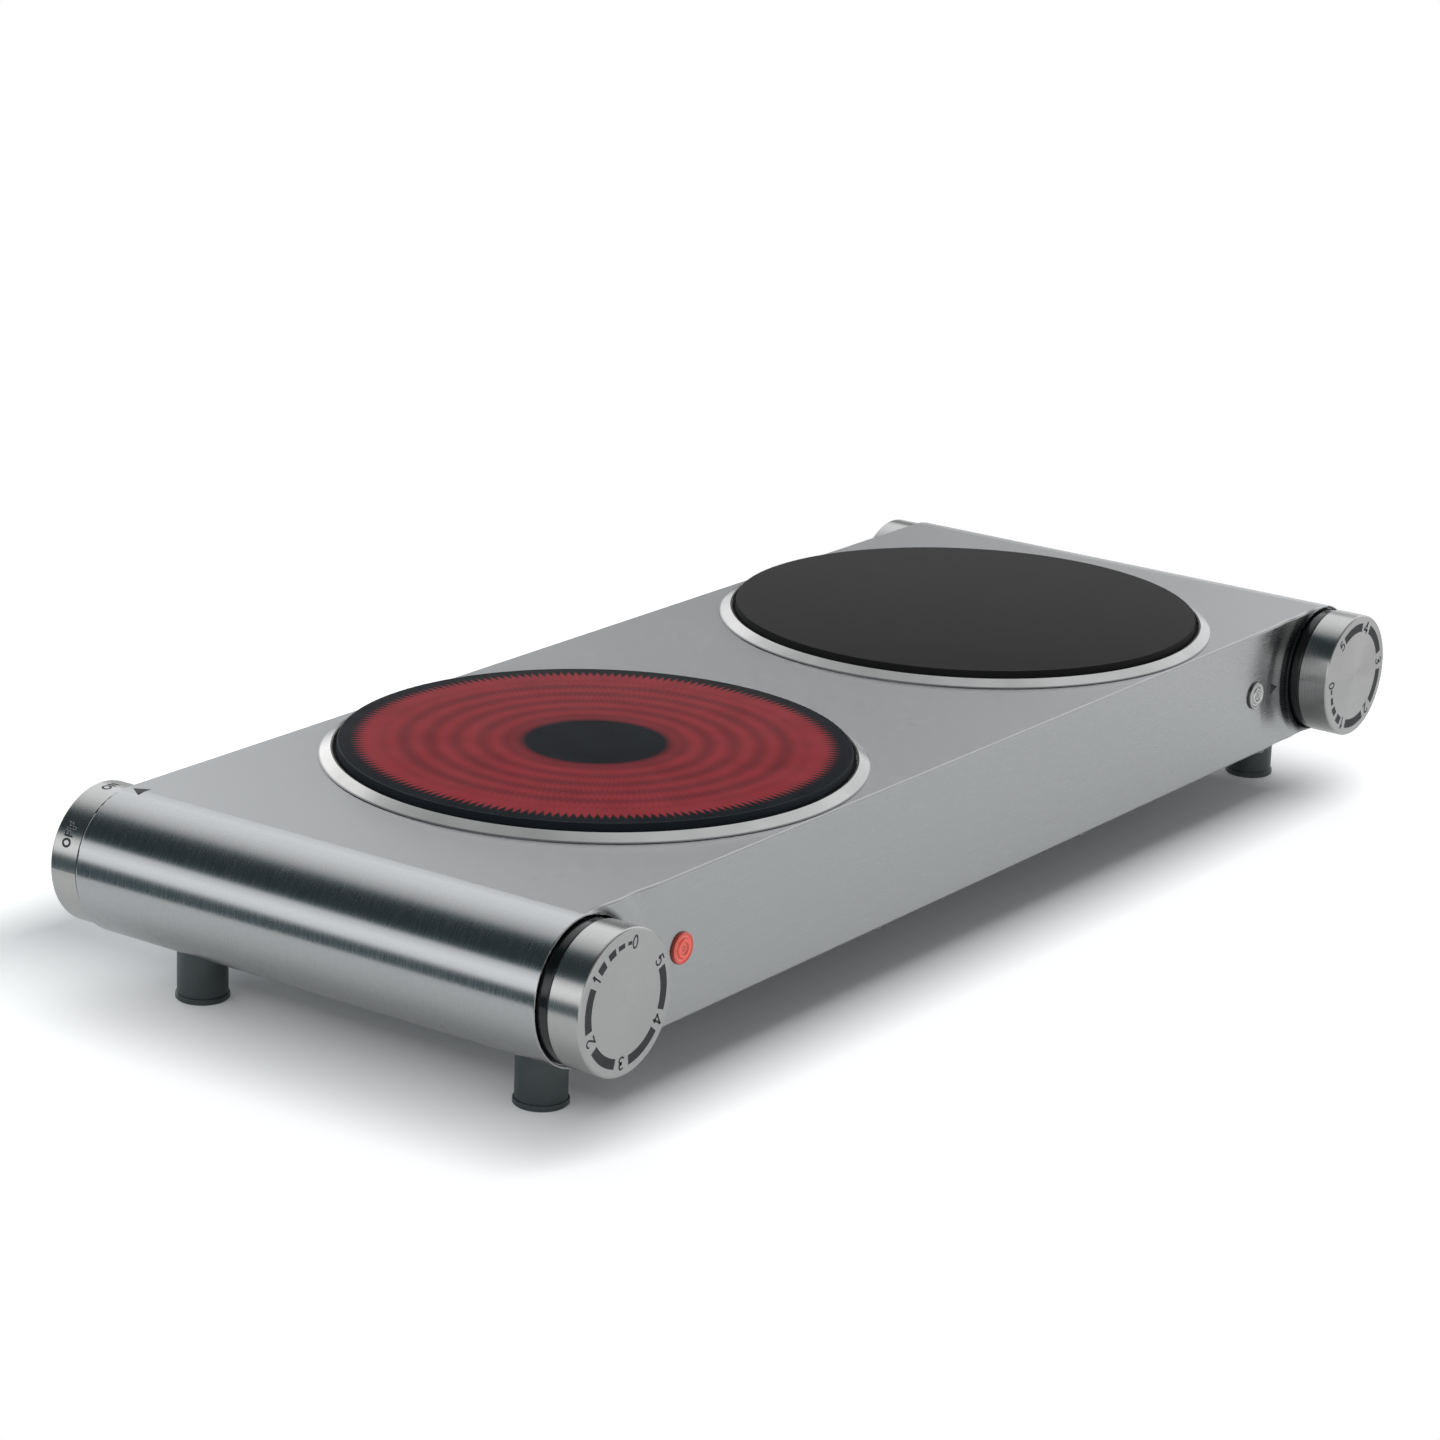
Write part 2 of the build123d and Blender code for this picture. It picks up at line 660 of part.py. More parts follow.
def make_hub(name, face_plane, skirt_end, boss_end, shaft_end):
    """Moulded hub behind a cap; depths are measured back from the cap's face."""
    with BuildPart() as hub:
        with BuildSketch(face_plane.offset(-CAP_SHELL)):
            Circle(HUB_R)
        extrude(amount=-HUB_WEB)
        with BuildSketch(face_plane.offset(-CAP_SHELL - HUB_WEB)):
            Circle(HUB_R)
            Circle(HUB_R - HUB_SKIRT_T, mode=Mode.SUBTRACT)
        extrude(amount=-(skirt_end - CAP_SHELL - HUB_WEB))
        with BuildSketch(face_plane.offset(-CAP_SHELL - HUB_WEB)):
            for angle in (0, 60, 120):
                Rectangle(2 * HUB_R - HUB_SKIRT_T, HUB_RIB_T, rotation=angle)
        extrude(amount=-HUB_RIB_H)
        with BuildSketch(face_plane.offset(-CAP_SHELL - HUB_WEB)):
            Circle(HUB_BOSS_R)
        extrude(amount=-(boss_end - CAP_SHELL - HUB_WEB))
        with BuildSketch(face_plane.offset(-shaft_end)):
            Circle(SHAFT_R)
        extrude(amount=-(boss_end - shaft_end), mode=Mode.SUBTRACT)
    save(hub, name)


def make_shaft(name, face_plane, start, end):
    """Plain turning shaft, from start to end behind the cap's face."""
    with BuildPart() as shaft:
        with BuildSketch(face_plane.offset(-start)):
            Circle(SHAFT_R)
        extrude(amount=-(end - start))
    save(shaft, name)


def make_bezel(name, x):
    """Gloss black cup that fills the collar and shows behind the knob."""
    web_y = FRONT_Y + BEZEL_WEB_DEPTH
    with BuildPart() as bezel:
        with BuildSketch(facing_front(web_y + BEZEL_WEB_T, x)):
            Circle(BEZEL_R)
        extrude(amount=BEZEL_WEB_T + BEZEL_WEB_DEPTH + BEZEL_REACH)
        fillet(bezel.faces().filter_by(Axis.Y).sort_by(Axis.Y)[0].edges(), BEZEL_EDGE_R)
        with BuildSketch(facing_front(web_y, x)):
            Circle(BEZEL_BORE_R)
        extrude(amount=BEZEL_WEB_DEPTH + BEZEL_REACH, mode=Mode.SUBTRACT)
        with BuildSketch(facing_front(web_y + BEZEL_WEB_T, x)):
            Circle(NECK_HOLE_R)
        extrude(amount=BEZEL_WEB_T, mode=Mode.SUBTRACT)
    save(bezel, name)


def make_bracket(name, x):
    """Round plate behind the bezel with a foot on the housing floor."""
    plate_y = FRONT_Y + BEZEL_WEB_DEPTH + BEZEL_WEB_T
    floor_z = BODY_BOTTOM + SHEET
    inward = -side(x)
    foot_centre = x + inward * (KNOB_X - FLOOR_END_X) / 2
    foot_width = KNOB_X - FLOOR_END_X - BRACKET_FOOT_GAP
    screw_points = [point for point in bracket_screw_points() if side(point[0]) == side(x)]
    with BuildPart() as bracket:
        with BuildSketch(facing_front(plate_y + BRACKET_T, x)):
            Circle(BRACKET_R)
            with Locations((foot_centre - x, (floor_z - AXIS_Z) / 2)):
                Rectangle(foot_width, AXIS_Z - floor_z)
        extrude(amount=BRACKET_T)
        with BuildSketch(Plane.XY.offset(floor_z)):
            with Locations((foot_centre, plate_y + BRACKET_T + BRACKET_FOOT / 2)):
                Rectangle(foot_width, BRACKET_FOOT)
        extrude(amount=BRACKET_T)
        with BuildSketch(Plane.XY.offset(floor_z)):
            with Locations(*screw_points):
                Circle(BRACKET_SCREW_R)
        extrude(amount=BRACKET_T, mode=Mode.SUBTRACT)
        with BuildSketch(facing_front(plate_y + BRACKET_T, x)):
            Circle(NECK_HOLE_R)
        extrude(amount=BRACKET_T, mode=Mode.SUBTRACT)
    save(bracket, name)


def make_control(name, mount_plane, size, depth, neck, bore):
    """Square control body and round neck; mount_plane is where it meets its panel."""
    with BuildPart() as control:
        with BuildSketch(mount_plane):
            RectangleRounded(size, size, CONTROL_CORNER_R)
        extrude(amount=-depth)
        with BuildSketch(mount_plane):
            Circle(NECK_R)
        extrude(amount=neck)
        with BuildSketch(mount_plane.offset(-depth)):
            with GridLocations(size * 0.5, size * 0.5, 2, 2):
                Rectangle(TERMINAL_T, TERMINAL_WIDTH)
        extrude(amount=-TERMINAL_LENGTH)
        with BuildSketch(mount_plane.offset(neck)):
            Circle(SHAFT_R + SHAFT_CLEARANCE)
        extrude(amount=-bore, mode=Mode.SUBTRACT)
    save(control, name)


def make_neck_nuts():
    """Hexagon nuts on the three control necks, one group."""
    seats = [
        facing_front(FRONT_Y + BEZEL_WEB_DEPTH, -KNOB_X),
        facing_front(FRONT_Y + BEZEL_WEB_DEPTH, KNOB_X),
        facing_rear(REAR_Y, -KNOB_X),
    ]
    with BuildPart() as nuts:
        for seat in seats:
            with BuildSketch(seat):
                RegularPolygon(NUT_AF / 2, 6, major_radius=False)
                Circle(NECK_R, mode=Mode.SUBTRACT)
            extrude(amount=NUT_H)
    save(nuts, "neck_nuts")


def make_rear_plug():
    """Moulded plug that clips the fixed cap to the rear panel."""
    face = facing_rear(REAR_Y + REAR_KNOB_REACH, KNOB_X)
    with BuildPart() as plug:
        with BuildSketch(face.offset(-CAP_SHELL)):
            Circle(HUB_R)
        extrude(amount=-HUB_WEB)
        with BuildSketch(face.offset(-CAP_SHELL - HUB_WEB)):
            Circle(HUB_R)
            Circle(HUB_R - HUB_SKIRT_T, mode=Mode.SUBTRACT)
        extrude(amount=-(REAR_KNOB_REACH - CAP_SHELL - HUB_WEB))
        with BuildSketch(face.offset(-CAP_SHELL - HUB_WEB)):
            Circle(NECK_R)
        extrude(amount=-(REAR_KNOB_REACH - CAP_SHELL - HUB_WEB + WALL + PLUG_BARB_T))
        with BuildSketch(face.offset(-REAR_KNOB_REACH - WALL)):
            Circle(NECK_R + PLUG_BARB)
        extrude(amount=-PLUG_BARB_T)
    save(plug, "rear_right_plug")


# ---- indicator lamps --------------------------------------------------------
def make_lens(name, x):
    """Flanged lens with a rounded front and a stem through the front panel."""
    with BuildPart() as lens:
        with BuildSketch(facing_front(FRONT_Y, x)):
            Circle(LENS_R)
        extrude(amount=LENS_REACH)
        fillet(lens.faces().filter_by(Axis.Y).sort_by(Axis.Y)[0].edges(), LENS_EDGE_R)
        with BuildSketch(facing_front(FRONT_Y, x)):
            Circle(LENS_STEM_R)
        extrude(amount=-LENS_STEM_LENGTH)
    save(lens, name)


def make_lamp(name, x):
    """Neon lamp in its push-in holder behind the lens."""
    with BuildPart() as lamp:
        with BuildSketch(facing_front(FRONT_Y + LAMP_DEPTH, x)):
            Circle(LAMP_R)
        extrude(amount=LAMP_DEPTH - LENS_STEM_LENGTH)
        with BuildSketch(facing_front(FRONT_Y + LAMP_DEPTH, x)):
            with GridLocations(LAMP_PIN_PITCH, 0, 2, 1):
                Rectangle(TERMINAL_T, LAMP_PIN_WIDTH)
        extrude(amount=-LAMP_PIN_LENGTH)
    save(lamp, name)


# ---- supply -----------------------------------------------------------------
def make_terminal_block():
    """Three-pole block on the base plate, with open screw wells."""
    with BuildPart() as block:
        with BuildSketch(Plane.XY.offset(BLOCK_Z)):
            with Locations((BLOCK_X, BLOCK_Y)):
                RectangleRounded(BLOCK_LENGTH, BLOCK_WIDTH, BLOCK_CORNER_R)
        extrude(amount=BLOCK_HEIGHT)
        with BuildSketch(Plane.XY.offset(BLOCK_Z + BLOCK_HEIGHT)):
            with Locations((BLOCK_X, BLOCK_Y)):
                with GridLocations(BLOCK_POLE_PITCH, BLOCK_ROW_PITCH, 3, 2):
                    Circle(BLOCK_WELL_R)
        extrude(amount=-BLOCK_WELL_DEPTH, mode=Mode.SUBTRACT)
    save(block, "terminal_block")


def make_cord_gland():
    """Round bushing in the rear panel for the supply cord."""
    with BuildPart() as gland:
        with BuildSketch(facing_rear(REAR_Y, GLAND_X, GLAND_Z)):
            Circle(GLAND_FLANGE_R)
        extrude(amount=GLAND_FLANGE_T)
        fillet(gland.faces().sort_by(Axis.Y)[-1].edges(), GLAND_EDGE_R)
        with BuildSketch(facing_front(REAR_Y, GLAND_X, GLAND_Z)):
            Circle(GLAND_R)
        extrude(amount=GLAND_LENGTH)
        with BuildSketch(facing_front(REAR_Y + GLAND_FLANGE_T, GLAND_X, GLAND_Z)):
            Circle(GLAND_BORE_R)
        extrude(amount=GLAND_FLANGE_T + GLAND_LENGTH, mode=Mode.SUBTRACT)
    save(gland, "cord_gland")

    with BuildPart() as nut:
        with BuildSketch(facing_front(REAR_Y - WALL, GLAND_X, GLAND_Z)):
            RegularPolygon(GLAND_NUT_AF / 2, 6, major_radius=False)
            Circle(GLAND_R, mode=Mode.SUBTRACT)
        extrude(amount=GLAND_NUT_H)
    save(nut, "gland_nut")


def make_wires(name, paths):
    """Round insulated wires along straight runs, one solid for each path."""
    with BuildPart() as wires:
        for points in paths:
            with BuildLine():
                route = Polyline(*points)
            with BuildSketch(Plane(origin=points[0], z_dir=route % 0)):
                Circle(WIRE_R)
            sweep(path=route, transition=Transition.ROUND)
    save(wires, name)


def make_wiring():
    """Runs from the terminal block to the switch, regulators and limiters."""
    switch_side = KNOB_X - SWITCH_SIZE / 2
    regulator_back = FRONT_Y + BEZEL_WEB_DEPTH + BEZEL_WEB_T + BRACKET_T + REGULATOR_DEPTH
    regulator_side = KNOB_X - REGULATOR_SIZE / 2
    switch_front = REAR_Y - WALL - SWITCH_DEPTH
    block_left = BLOCK_X - BLOCK_LENGTH / 2
    block_right = BLOCK_X + BLOCK_LENGTH / 2
    run_x = KNOB_X - WIRE_RUN_INSET
    limiter_face = MID_Y - LIMITER_WIDTH / 2
    limiter_z = LIMITER_TOP_Z - LIMITER_HEIGHT / 2
    make_wires("wire_supply", [
        [
            (block_left, BLOCK_Y, WIRE_Z),
            (block_left - WIRE_LEAD, BLOCK_Y, WIRE_Z),
            (block_left - WIRE_LEAD, WIRE_REAR_Y, WIRE_Z),
            (-switch_side + WIRE_STUB, WIRE_REAR_Y, WIRE_Z),
            (-switch_side + WIRE_STUB, WIRE_REAR_Y, AXIS_Z),
            (-switch_side, WIRE_REAR_Y, AXIS_Z),
        ],
        [
            (block_right, BLOCK_Y, WIRE_Z),
            (block_right + WIRE_LEAD, BLOCK_Y, WIRE_Z),
            (block_right + WIRE_LEAD, WIRE_REAR_Y, WIRE_Z),
            (run_x, WIRE_REAR_Y, WIRE_Z),
            (run_x, WIRE_REAR_Y, AXIS_Z),
            (run_x, regulator_back, AXIS_Z),
        ],
    ])
    for name, x in BURNERS.items():
        sx = side(x)
        head_x = x - sx * (PAN_R + LIMITER_LENGTH / 2)
        paths = [[
            (sx * regulator_side, WIRE_REGULATOR_Y, WIRE_FRONT_Z),
            (sx * (regulator_side - WIRE_STUB), WIRE_REGULATOR_Y, WIRE_FRONT_Z),
            (sx * (regulator_side - WIRE_STUB), WIRE_FRONT_Y, WIRE_FRONT_Z),
            (head_x, WIRE_FRONT_Y, WIRE_FRONT_Z),
            (head_x, WIRE_FRONT_Y, limiter_z),
            (head_x, limiter_face, limiter_z),
        ]]
        if sx < 0:
            paths.append([(-run_x, switch_front, AXIS_Z), (-run_x, regulator_back, AXIS_Z)])
        make_wires(f"wire_{name}", paths)


# ---- build everything -------------------------------------------------------
make_top_housing()
make_base_plate()
for foot_name, foot_x, foot_y in (
    ("foot_front_left", -FOOT_X, FOOT_FRONT_Y),
    ("foot_front_right", FOOT_X, FOOT_FRONT_Y),
    ("foot_rear_left", -FOOT_X, FOOT_REAR_Y),
    ("foot_rear_right", FOOT_X, FOOT_REAR_Y),
):
    make_foot(foot_name, foot_x, foot_y)
make_screws(
    "foot_screws",
    foot_points(),
    FOOT_RECESS_H,
    FOOT_SCREW_TIP_Z,
    FOOT_SCREW_R,
    FOOT_SCREW_HEAD,
)
make_screws(
    "base_screws",
    base_screw_points(),
    BASE_Z,
    BASE_SCREW_TIP_Z,
    BASE_SCREW_R,
    BASE_SCREW_HEAD,
)
make_screws(
    "support_screws",
    support_screw_points(),
    BASE_Z,
    SUPPORT_SCREW_TIP_Z,
    SUPPORT_SCREW_R,
    SUPPORT_SCREW_HEAD,
)
make_screws(
    "bracket_screws",
    bracket_screw_points(),
    BODY_BOTTOM + SHEET + BRACKET_T,
    BODY_BOTTOM,
    BRACKET_SCREW_R,
    BRACKET_SCREW_HEAD,
)

for burner, burner_x in BURNERS.items():
    make_heat_shield(f"{burner}_heat_shield", side(burner_x) * SHIELD_X)
    make_trim_ring(f"{burner}_trim_ring", burner_x)
    make_gasket(f"{burner}_gasket", burner_x)
    make_glass(f"{burner}_glass", burner_x)
    make_heater_pan(f"{burner}_heater_pan", burner_x)
    make_insulation(f"{burner}_insulation", burner_x)
    make_element(f"{burner}_element", burner_x)
    make_limiter(f"{burner}_limiter", burner_x)
    make_heater_support(f"{burner}_heater_support", burner_x)

front_skirt_end = FRONT_KNOB_REACH - FRONT_CAP_RIM - FRONT_SKIRT_GAP
regulator_y = FRONT_Y + BEZEL_WEB_DEPTH + BEZEL_WEB_T + BRACKET_T
for hand, hand_x in (("left", -KNOB_X), ("right", KNOB_X)):
    knob_face = facing_front(FRONT_Y - FRONT_KNOB_REACH, hand_x)
    make_cap(f"front_{hand}_knob_cap", knob_face, FRONT_KNOB_REACH, FRONT_CAP_RIM)
    make_hub(f"front_{hand}_hub", knob_face, front_skirt_end, FRONT_BOSS_END, FRONT_SHAFT_START)
    make_shaft(f"front_{hand}_shaft", knob_face, FRONT_SHAFT_START, FRONT_SHAFT_END)
    make_bezel(f"front_{hand}_bezel", hand_x)
    make_bracket(f"front_{hand}_bracket", hand_x)
    make_control(
        f"front_{hand}_regulator",
        facing_front(regulator_y, hand_x),
        REGULATOR_SIZE,
        REGULATOR_DEPTH,
        REGULATOR_NECK,
        REGULATOR_BORE,
    )
    make_lens(f"{hand}_lens", side(hand_x) * LENS_X)
    make_lamp(f"{hand}_lamp", side(hand_x) * LENS_X)

rear_skirt_end = REAR_KNOB_REACH - REAR_CAP_RIM - REAR_SKIRT_GAP
switch_knob_face = facing_rear(REAR_Y + REAR_KNOB_REACH, -KNOB_X)
make_cap("rear_left_knob_cap", switch_knob_face, REAR_KNOB_REACH, REAR_CAP_RIM)
make_hub("rear_left_hub", switch_knob_face, rear_skirt_end, REAR_BOSS_END, REAR_SHAFT_START)
make_shaft("rear_left_shaft", switch_knob_face, REAR_SHAFT_START, REAR_SHAFT_END)
make_control(
    "rear_left_switch",
    facing_rear(REAR_Y - WALL, -KNOB_X),
    SWITCH_SIZE,
    SWITCH_DEPTH,
    SWITCH_NECK,
    SWITCH_BORE,
)
rear_cap_face = facing_rear(REAR_Y + REAR_KNOB_REACH, KNOB_X)
make_cap("rear_right_cap", rear_cap_face, REAR_KNOB_REACH, REAR_CAP_RIM)
make_rear_plug()
make_neck_nuts()

make_terminal_block()
make_cord_gland()
make_wiring()
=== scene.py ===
from math import cos, degrees, pi, radians, sin, tau

import bpy
from mathutils import Matrix, Vector
from mathutils.bvhtree import BVHTree


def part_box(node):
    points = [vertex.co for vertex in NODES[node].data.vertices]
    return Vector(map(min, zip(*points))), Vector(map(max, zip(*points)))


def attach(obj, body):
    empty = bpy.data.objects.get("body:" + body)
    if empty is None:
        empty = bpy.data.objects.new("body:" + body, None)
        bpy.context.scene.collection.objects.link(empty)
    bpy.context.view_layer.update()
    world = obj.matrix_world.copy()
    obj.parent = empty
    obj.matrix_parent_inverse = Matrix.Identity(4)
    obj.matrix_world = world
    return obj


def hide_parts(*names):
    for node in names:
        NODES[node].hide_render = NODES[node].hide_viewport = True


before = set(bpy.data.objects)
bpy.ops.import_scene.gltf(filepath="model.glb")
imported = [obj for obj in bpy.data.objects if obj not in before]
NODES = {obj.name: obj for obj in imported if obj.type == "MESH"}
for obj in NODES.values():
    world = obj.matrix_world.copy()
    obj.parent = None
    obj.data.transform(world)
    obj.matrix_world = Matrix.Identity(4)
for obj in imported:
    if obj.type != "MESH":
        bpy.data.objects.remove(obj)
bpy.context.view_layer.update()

MM = 0.001

# ---- dial print, in millimetres and degrees ---------------------------------------
NUMERAL_PLACES = (0.0, 64.4, 125.2, 186.6, 250.0, 311.0)     # anticlockwise, seen from the front
NUMERAL_R = 19.6
NUMERAL_HEIGHT = 4.6
DIAL_TURN = {"left": 78.4, "right": 180.0}      # where each dial's 0 stands at rest
BAND_R = 19.5
BAND_WIDTH = 3.4
BANDS = ((73, 115), (136, 176), (197, 241), (260, 303))
DASHES = ((5.4, 11.2, 1.2), (15.8, 25.4, 1.7), (29.6, 40.4, 2.5), (46.5, 57.5, 3.2))
INK_RISE = 0.03                     # print above the metal
HALO_RISE = 0.015                   # thin pale outline round the print
HALO_SPREAD = 0.3
WORD_SPREAD = 0.09                  # bolder words on the switch cap
WORD_HALO_SHARE = 0.45
STROKE = 0.145                      # of a sign's height
LETTER_GAP = 0.3                    # of a sign's height
INK_SINK = 0.05                     # print below the surface, so no gap shows
ARC_STEP = 2                        # degrees between the points of a band
STROKE_STEP = 12                    # degrees between the points of a curved stroke

# ---- other markings ---------------------------------------------------------------
FRONT_MARK = (204.1, 209.0, 45.5, 2.3)          # base x, apex x, middle z, half base
TOP_MARK = (-242.0, 90.6, 95.7, 3.2)            # middle x, base y, apex y, half base
SWITCH_WORDS = (("OFF", 60.0), ("ON", 3.0))     # word, degrees from the top towards -X
SWITCH_LETTER_HEIGHT = 3.5
POINTER_TIP = 0.02                  # half width left at a pointer's tip
POINTER_ROWS = 8

# ---- painted shade on the lip of each knob opening, in millimetres --------------------
LIP_SHADE = (25.6, 27.6)            # distance from a knob's axis: painted shade, then bare metal
LIP_SIDE = (-12.0, -3.0)            # sideways from a knob's axis: painted shade, then bare metal
LIP_FRONT = (-93.0, -92.2)          # y where the painted shade ends, so the top plate stays bare
# colour of the painted shade on the lip
LIP_SHADE_COLOUR = (0.02, 0.022, 0.024)

# ---- heater glow, in millimetres ----------------------------------------------------
GLOW_TEETH = 196
GLOW_TOOTH = 4.6
GLOW_OUTER_R = 84.2
GLOW_INNER_R = 24.0
GLOW_EDGE = (-1.0, 1.4)             # soft edge, from the outer radius
GLOW_CORE_FADE = 5.0
GLOW_COLOUR = (0.23, 0.018, 0.022)
RIBBON_PITCH = 9.0
RIBBON_END = (70.0, 76.0)           # turns blend into the toothed rim between these radii

# ---- stage --------------------------------------------------------------------------
FLOOR_R = 0.42
FLOOR_PAINTED_LIGHT = (0.0, 0.036, 0.63)     # painted floor light by distance from the shaded middle: start, end, then strength
MIRRORED_PAINTED_LIGHT = 0.55                # share of the painted floor light that the metal mirrors
FOOTPRINT = (0.215, 0.123)          # half length and half depth of the shaded middle
FOOTPRINT_Y = 0.035
ENDWAYS_SLOWNESS = 0.45             # the painted floor light grows more slowly past the short ends
FLOOR_RIM_POINTS = 128
FOCAL_LENGTH = 108.02
CAMERA_PLACE = Vector((-1.25497, -0.85341, 0.52308))
FORWARD = Vector((0.78294, 0.54911, -0.29237))
IMAGE_UP = Vector((0.21825, 0.19765, 0.95567))

COOL = (0.66, 1.02, 1.12)           # tint of the dark flags
CLEAN = (0.985, 1.0, 1.015)
SKY_STOPS = (                       # degrees from straight up towards -X, brightness, tint
    (-180, 0.10, CLEAN),
    (-98, 0.14, CLEAN),
    (-90, 1.10, CLEAN),
    (-60, 1.45, CLEAN),
    (-24, 1.30, CLEAN),
    (-8, 0.95, CLEAN),
    (3, 0.60, CLEAN),
    (12, 0.12, COOL),
    (20, 0.055, COOL),
    (48, 0.06, COOL),
    (55, 0.13, COOL),
    (59, 1.05, CLEAN),
    (72, 1.55, CLEAN),
    (85, 1.35, CLEAN),
    (90, 0.42, CLEAN),
    (93, 0.13, COOL),
    (110, 0.12, COOL),
    (180, 0.10, CLEAN),
)
SKY_PEAK = 2                        # the ramp holds levels as a share of this
BOX_LEVEL = 1.9                     # bright box high up behind


# ---- node helpers -------------------------------------------------------------------
def middle(node):
    """Centre of a CAD node's box."""
    low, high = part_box(node)
    return (low + high) / 2


def add_node(tree, kind, inputs=None, **settings):
    """New shader node. Inputs are sockets to link or plain values."""
    made = tree.nodes.new(kind)
    for name, value in settings.items():
        setattr(made, name, value)
    for key, value in (inputs or {}).items():
        if isinstance(value, bpy.types.NodeSocket):
            tree.links.new(value, made.inputs[key])
        else:
            made.inputs[key].default_value = value
    return made


def math_node(tree, operation, first, second=0.0):
    """Result of one Math node."""
    made = add_node(tree, "ShaderNodeMath", {0: first, 1: second}, operation=operation)
    return made.outputs[0]


def vector_node(tree, operation, first, second, output=0):
    """Result of one Vector Math node."""
    made = add_node(tree, "ShaderNodeVectorMath", {0: first, 1: second}, operation=operation)
    return made.outputs[output]


def distance(tree, vector, axes):
    """Length of a vector whose axes are first weighted, 0 leaving an axis out."""
    chosen = vector_node(tree, "MULTIPLY", vector, axes)
    return vector_node(tree, "LENGTH", chosen, (0, 0, 0), "Value")


def remap(tree, value, low, high, to_low=0.0, to_high=1.0):
    """Value moved from one range to another, clamped."""
    names = ("Value", "From Min", "From Max", "To Min", "To Max")
    inputs = dict(zip(names, (value, low, high, to_low, to_high)))
    return add_node(tree, "ShaderNodeMapRange", inputs).outputs[0]


def stretched_noise(tree, where, scale, detail=2.0, roughness=0.5):
    """Noise with its own scale along each axis, in cells per metre."""
    moved = vector_node(tree, "MULTIPLY", where, scale)
    inputs = {"Vector": moved, "Scale": 1.0, "Detail": detail, "Roughness": roughness}
    return add_node(tree, "ShaderNodeTexNoise", inputs).outputs[0]


def mix_value(tree, factor, first, second):
    """Blend of two numbers."""
    return add_node(tree, "ShaderNodeMix", {0: factor, 2: first, 3: second}).outputs[0]


def mix_colour(tree, factor, first, second):
    """Blend of two colours."""
    inputs = {0: factor, 6: first, 7: second}
    return add_node(tree, "ShaderNodeMix", inputs, data_type="RGBA").outputs[2]


def combine(tree, x, y, z):
    """Vector or colour from three numbers."""
    return add_node(tree, "ShaderNodeCombineXYZ", {0: x, 1: y, 2: z}).outputs[0]


def separate(tree, vector):
    """X, Y and Z sockets of a vector."""
    return add_node(tree, "ShaderNodeSeparateXYZ", {0: vector}).outputs


def new_material(name):
    """Material with only a Principled shader and its output."""
    material = bpy.data.materials.new(name)
    material.use_nodes = True
    tree = material.node_tree
    tree.nodes.clear()
    shader = tree.nodes.new("ShaderNodeBsdfPrincipled")
    output = tree.nodes.new("ShaderNodeOutputMaterial")
    tree.links.new(shader.outputs[0], output.inputs[0])
    return material, tree, shader


def set_inputs(tree, shader, **values):
    """Set or link shader sockets, named with underscores for spaces."""
    for name, value in values.items():
        socket = shader.inputs[name.replace("_", " ")]
        if isinstance(value, bpy.types.NodeSocket):
            tree.links.new(value, socket)
        else:
            socket.default_value = value


def bump(tree, height, strength, distance):
    """Normal from a height between 0 and 1."""
    inputs = {"Height": height, "Strength": strength, "Distance": distance}
    return add_node(tree, "ShaderNodeBump", inputs).outputs[0]


def object_place(tree):
    """Object coordinates: metres in the row frame."""
    return tree.nodes.new("ShaderNodeTexCoord").outputs["Object"]


def box_place(tree):
    """Place in the object's own box, from its middle, as a share of the box."""
    local = tree.nodes.new("ShaderNodeTexCoord").outputs["Generated"]
    return vector_node(tree, "SUBTRACT", local, (0.5, 0.5, 0.5))


def opaque(*levels):
    """Colour with full alpha; one level makes a grey."""
    return (tuple(levels) * 3)[:3] + (1.0,)


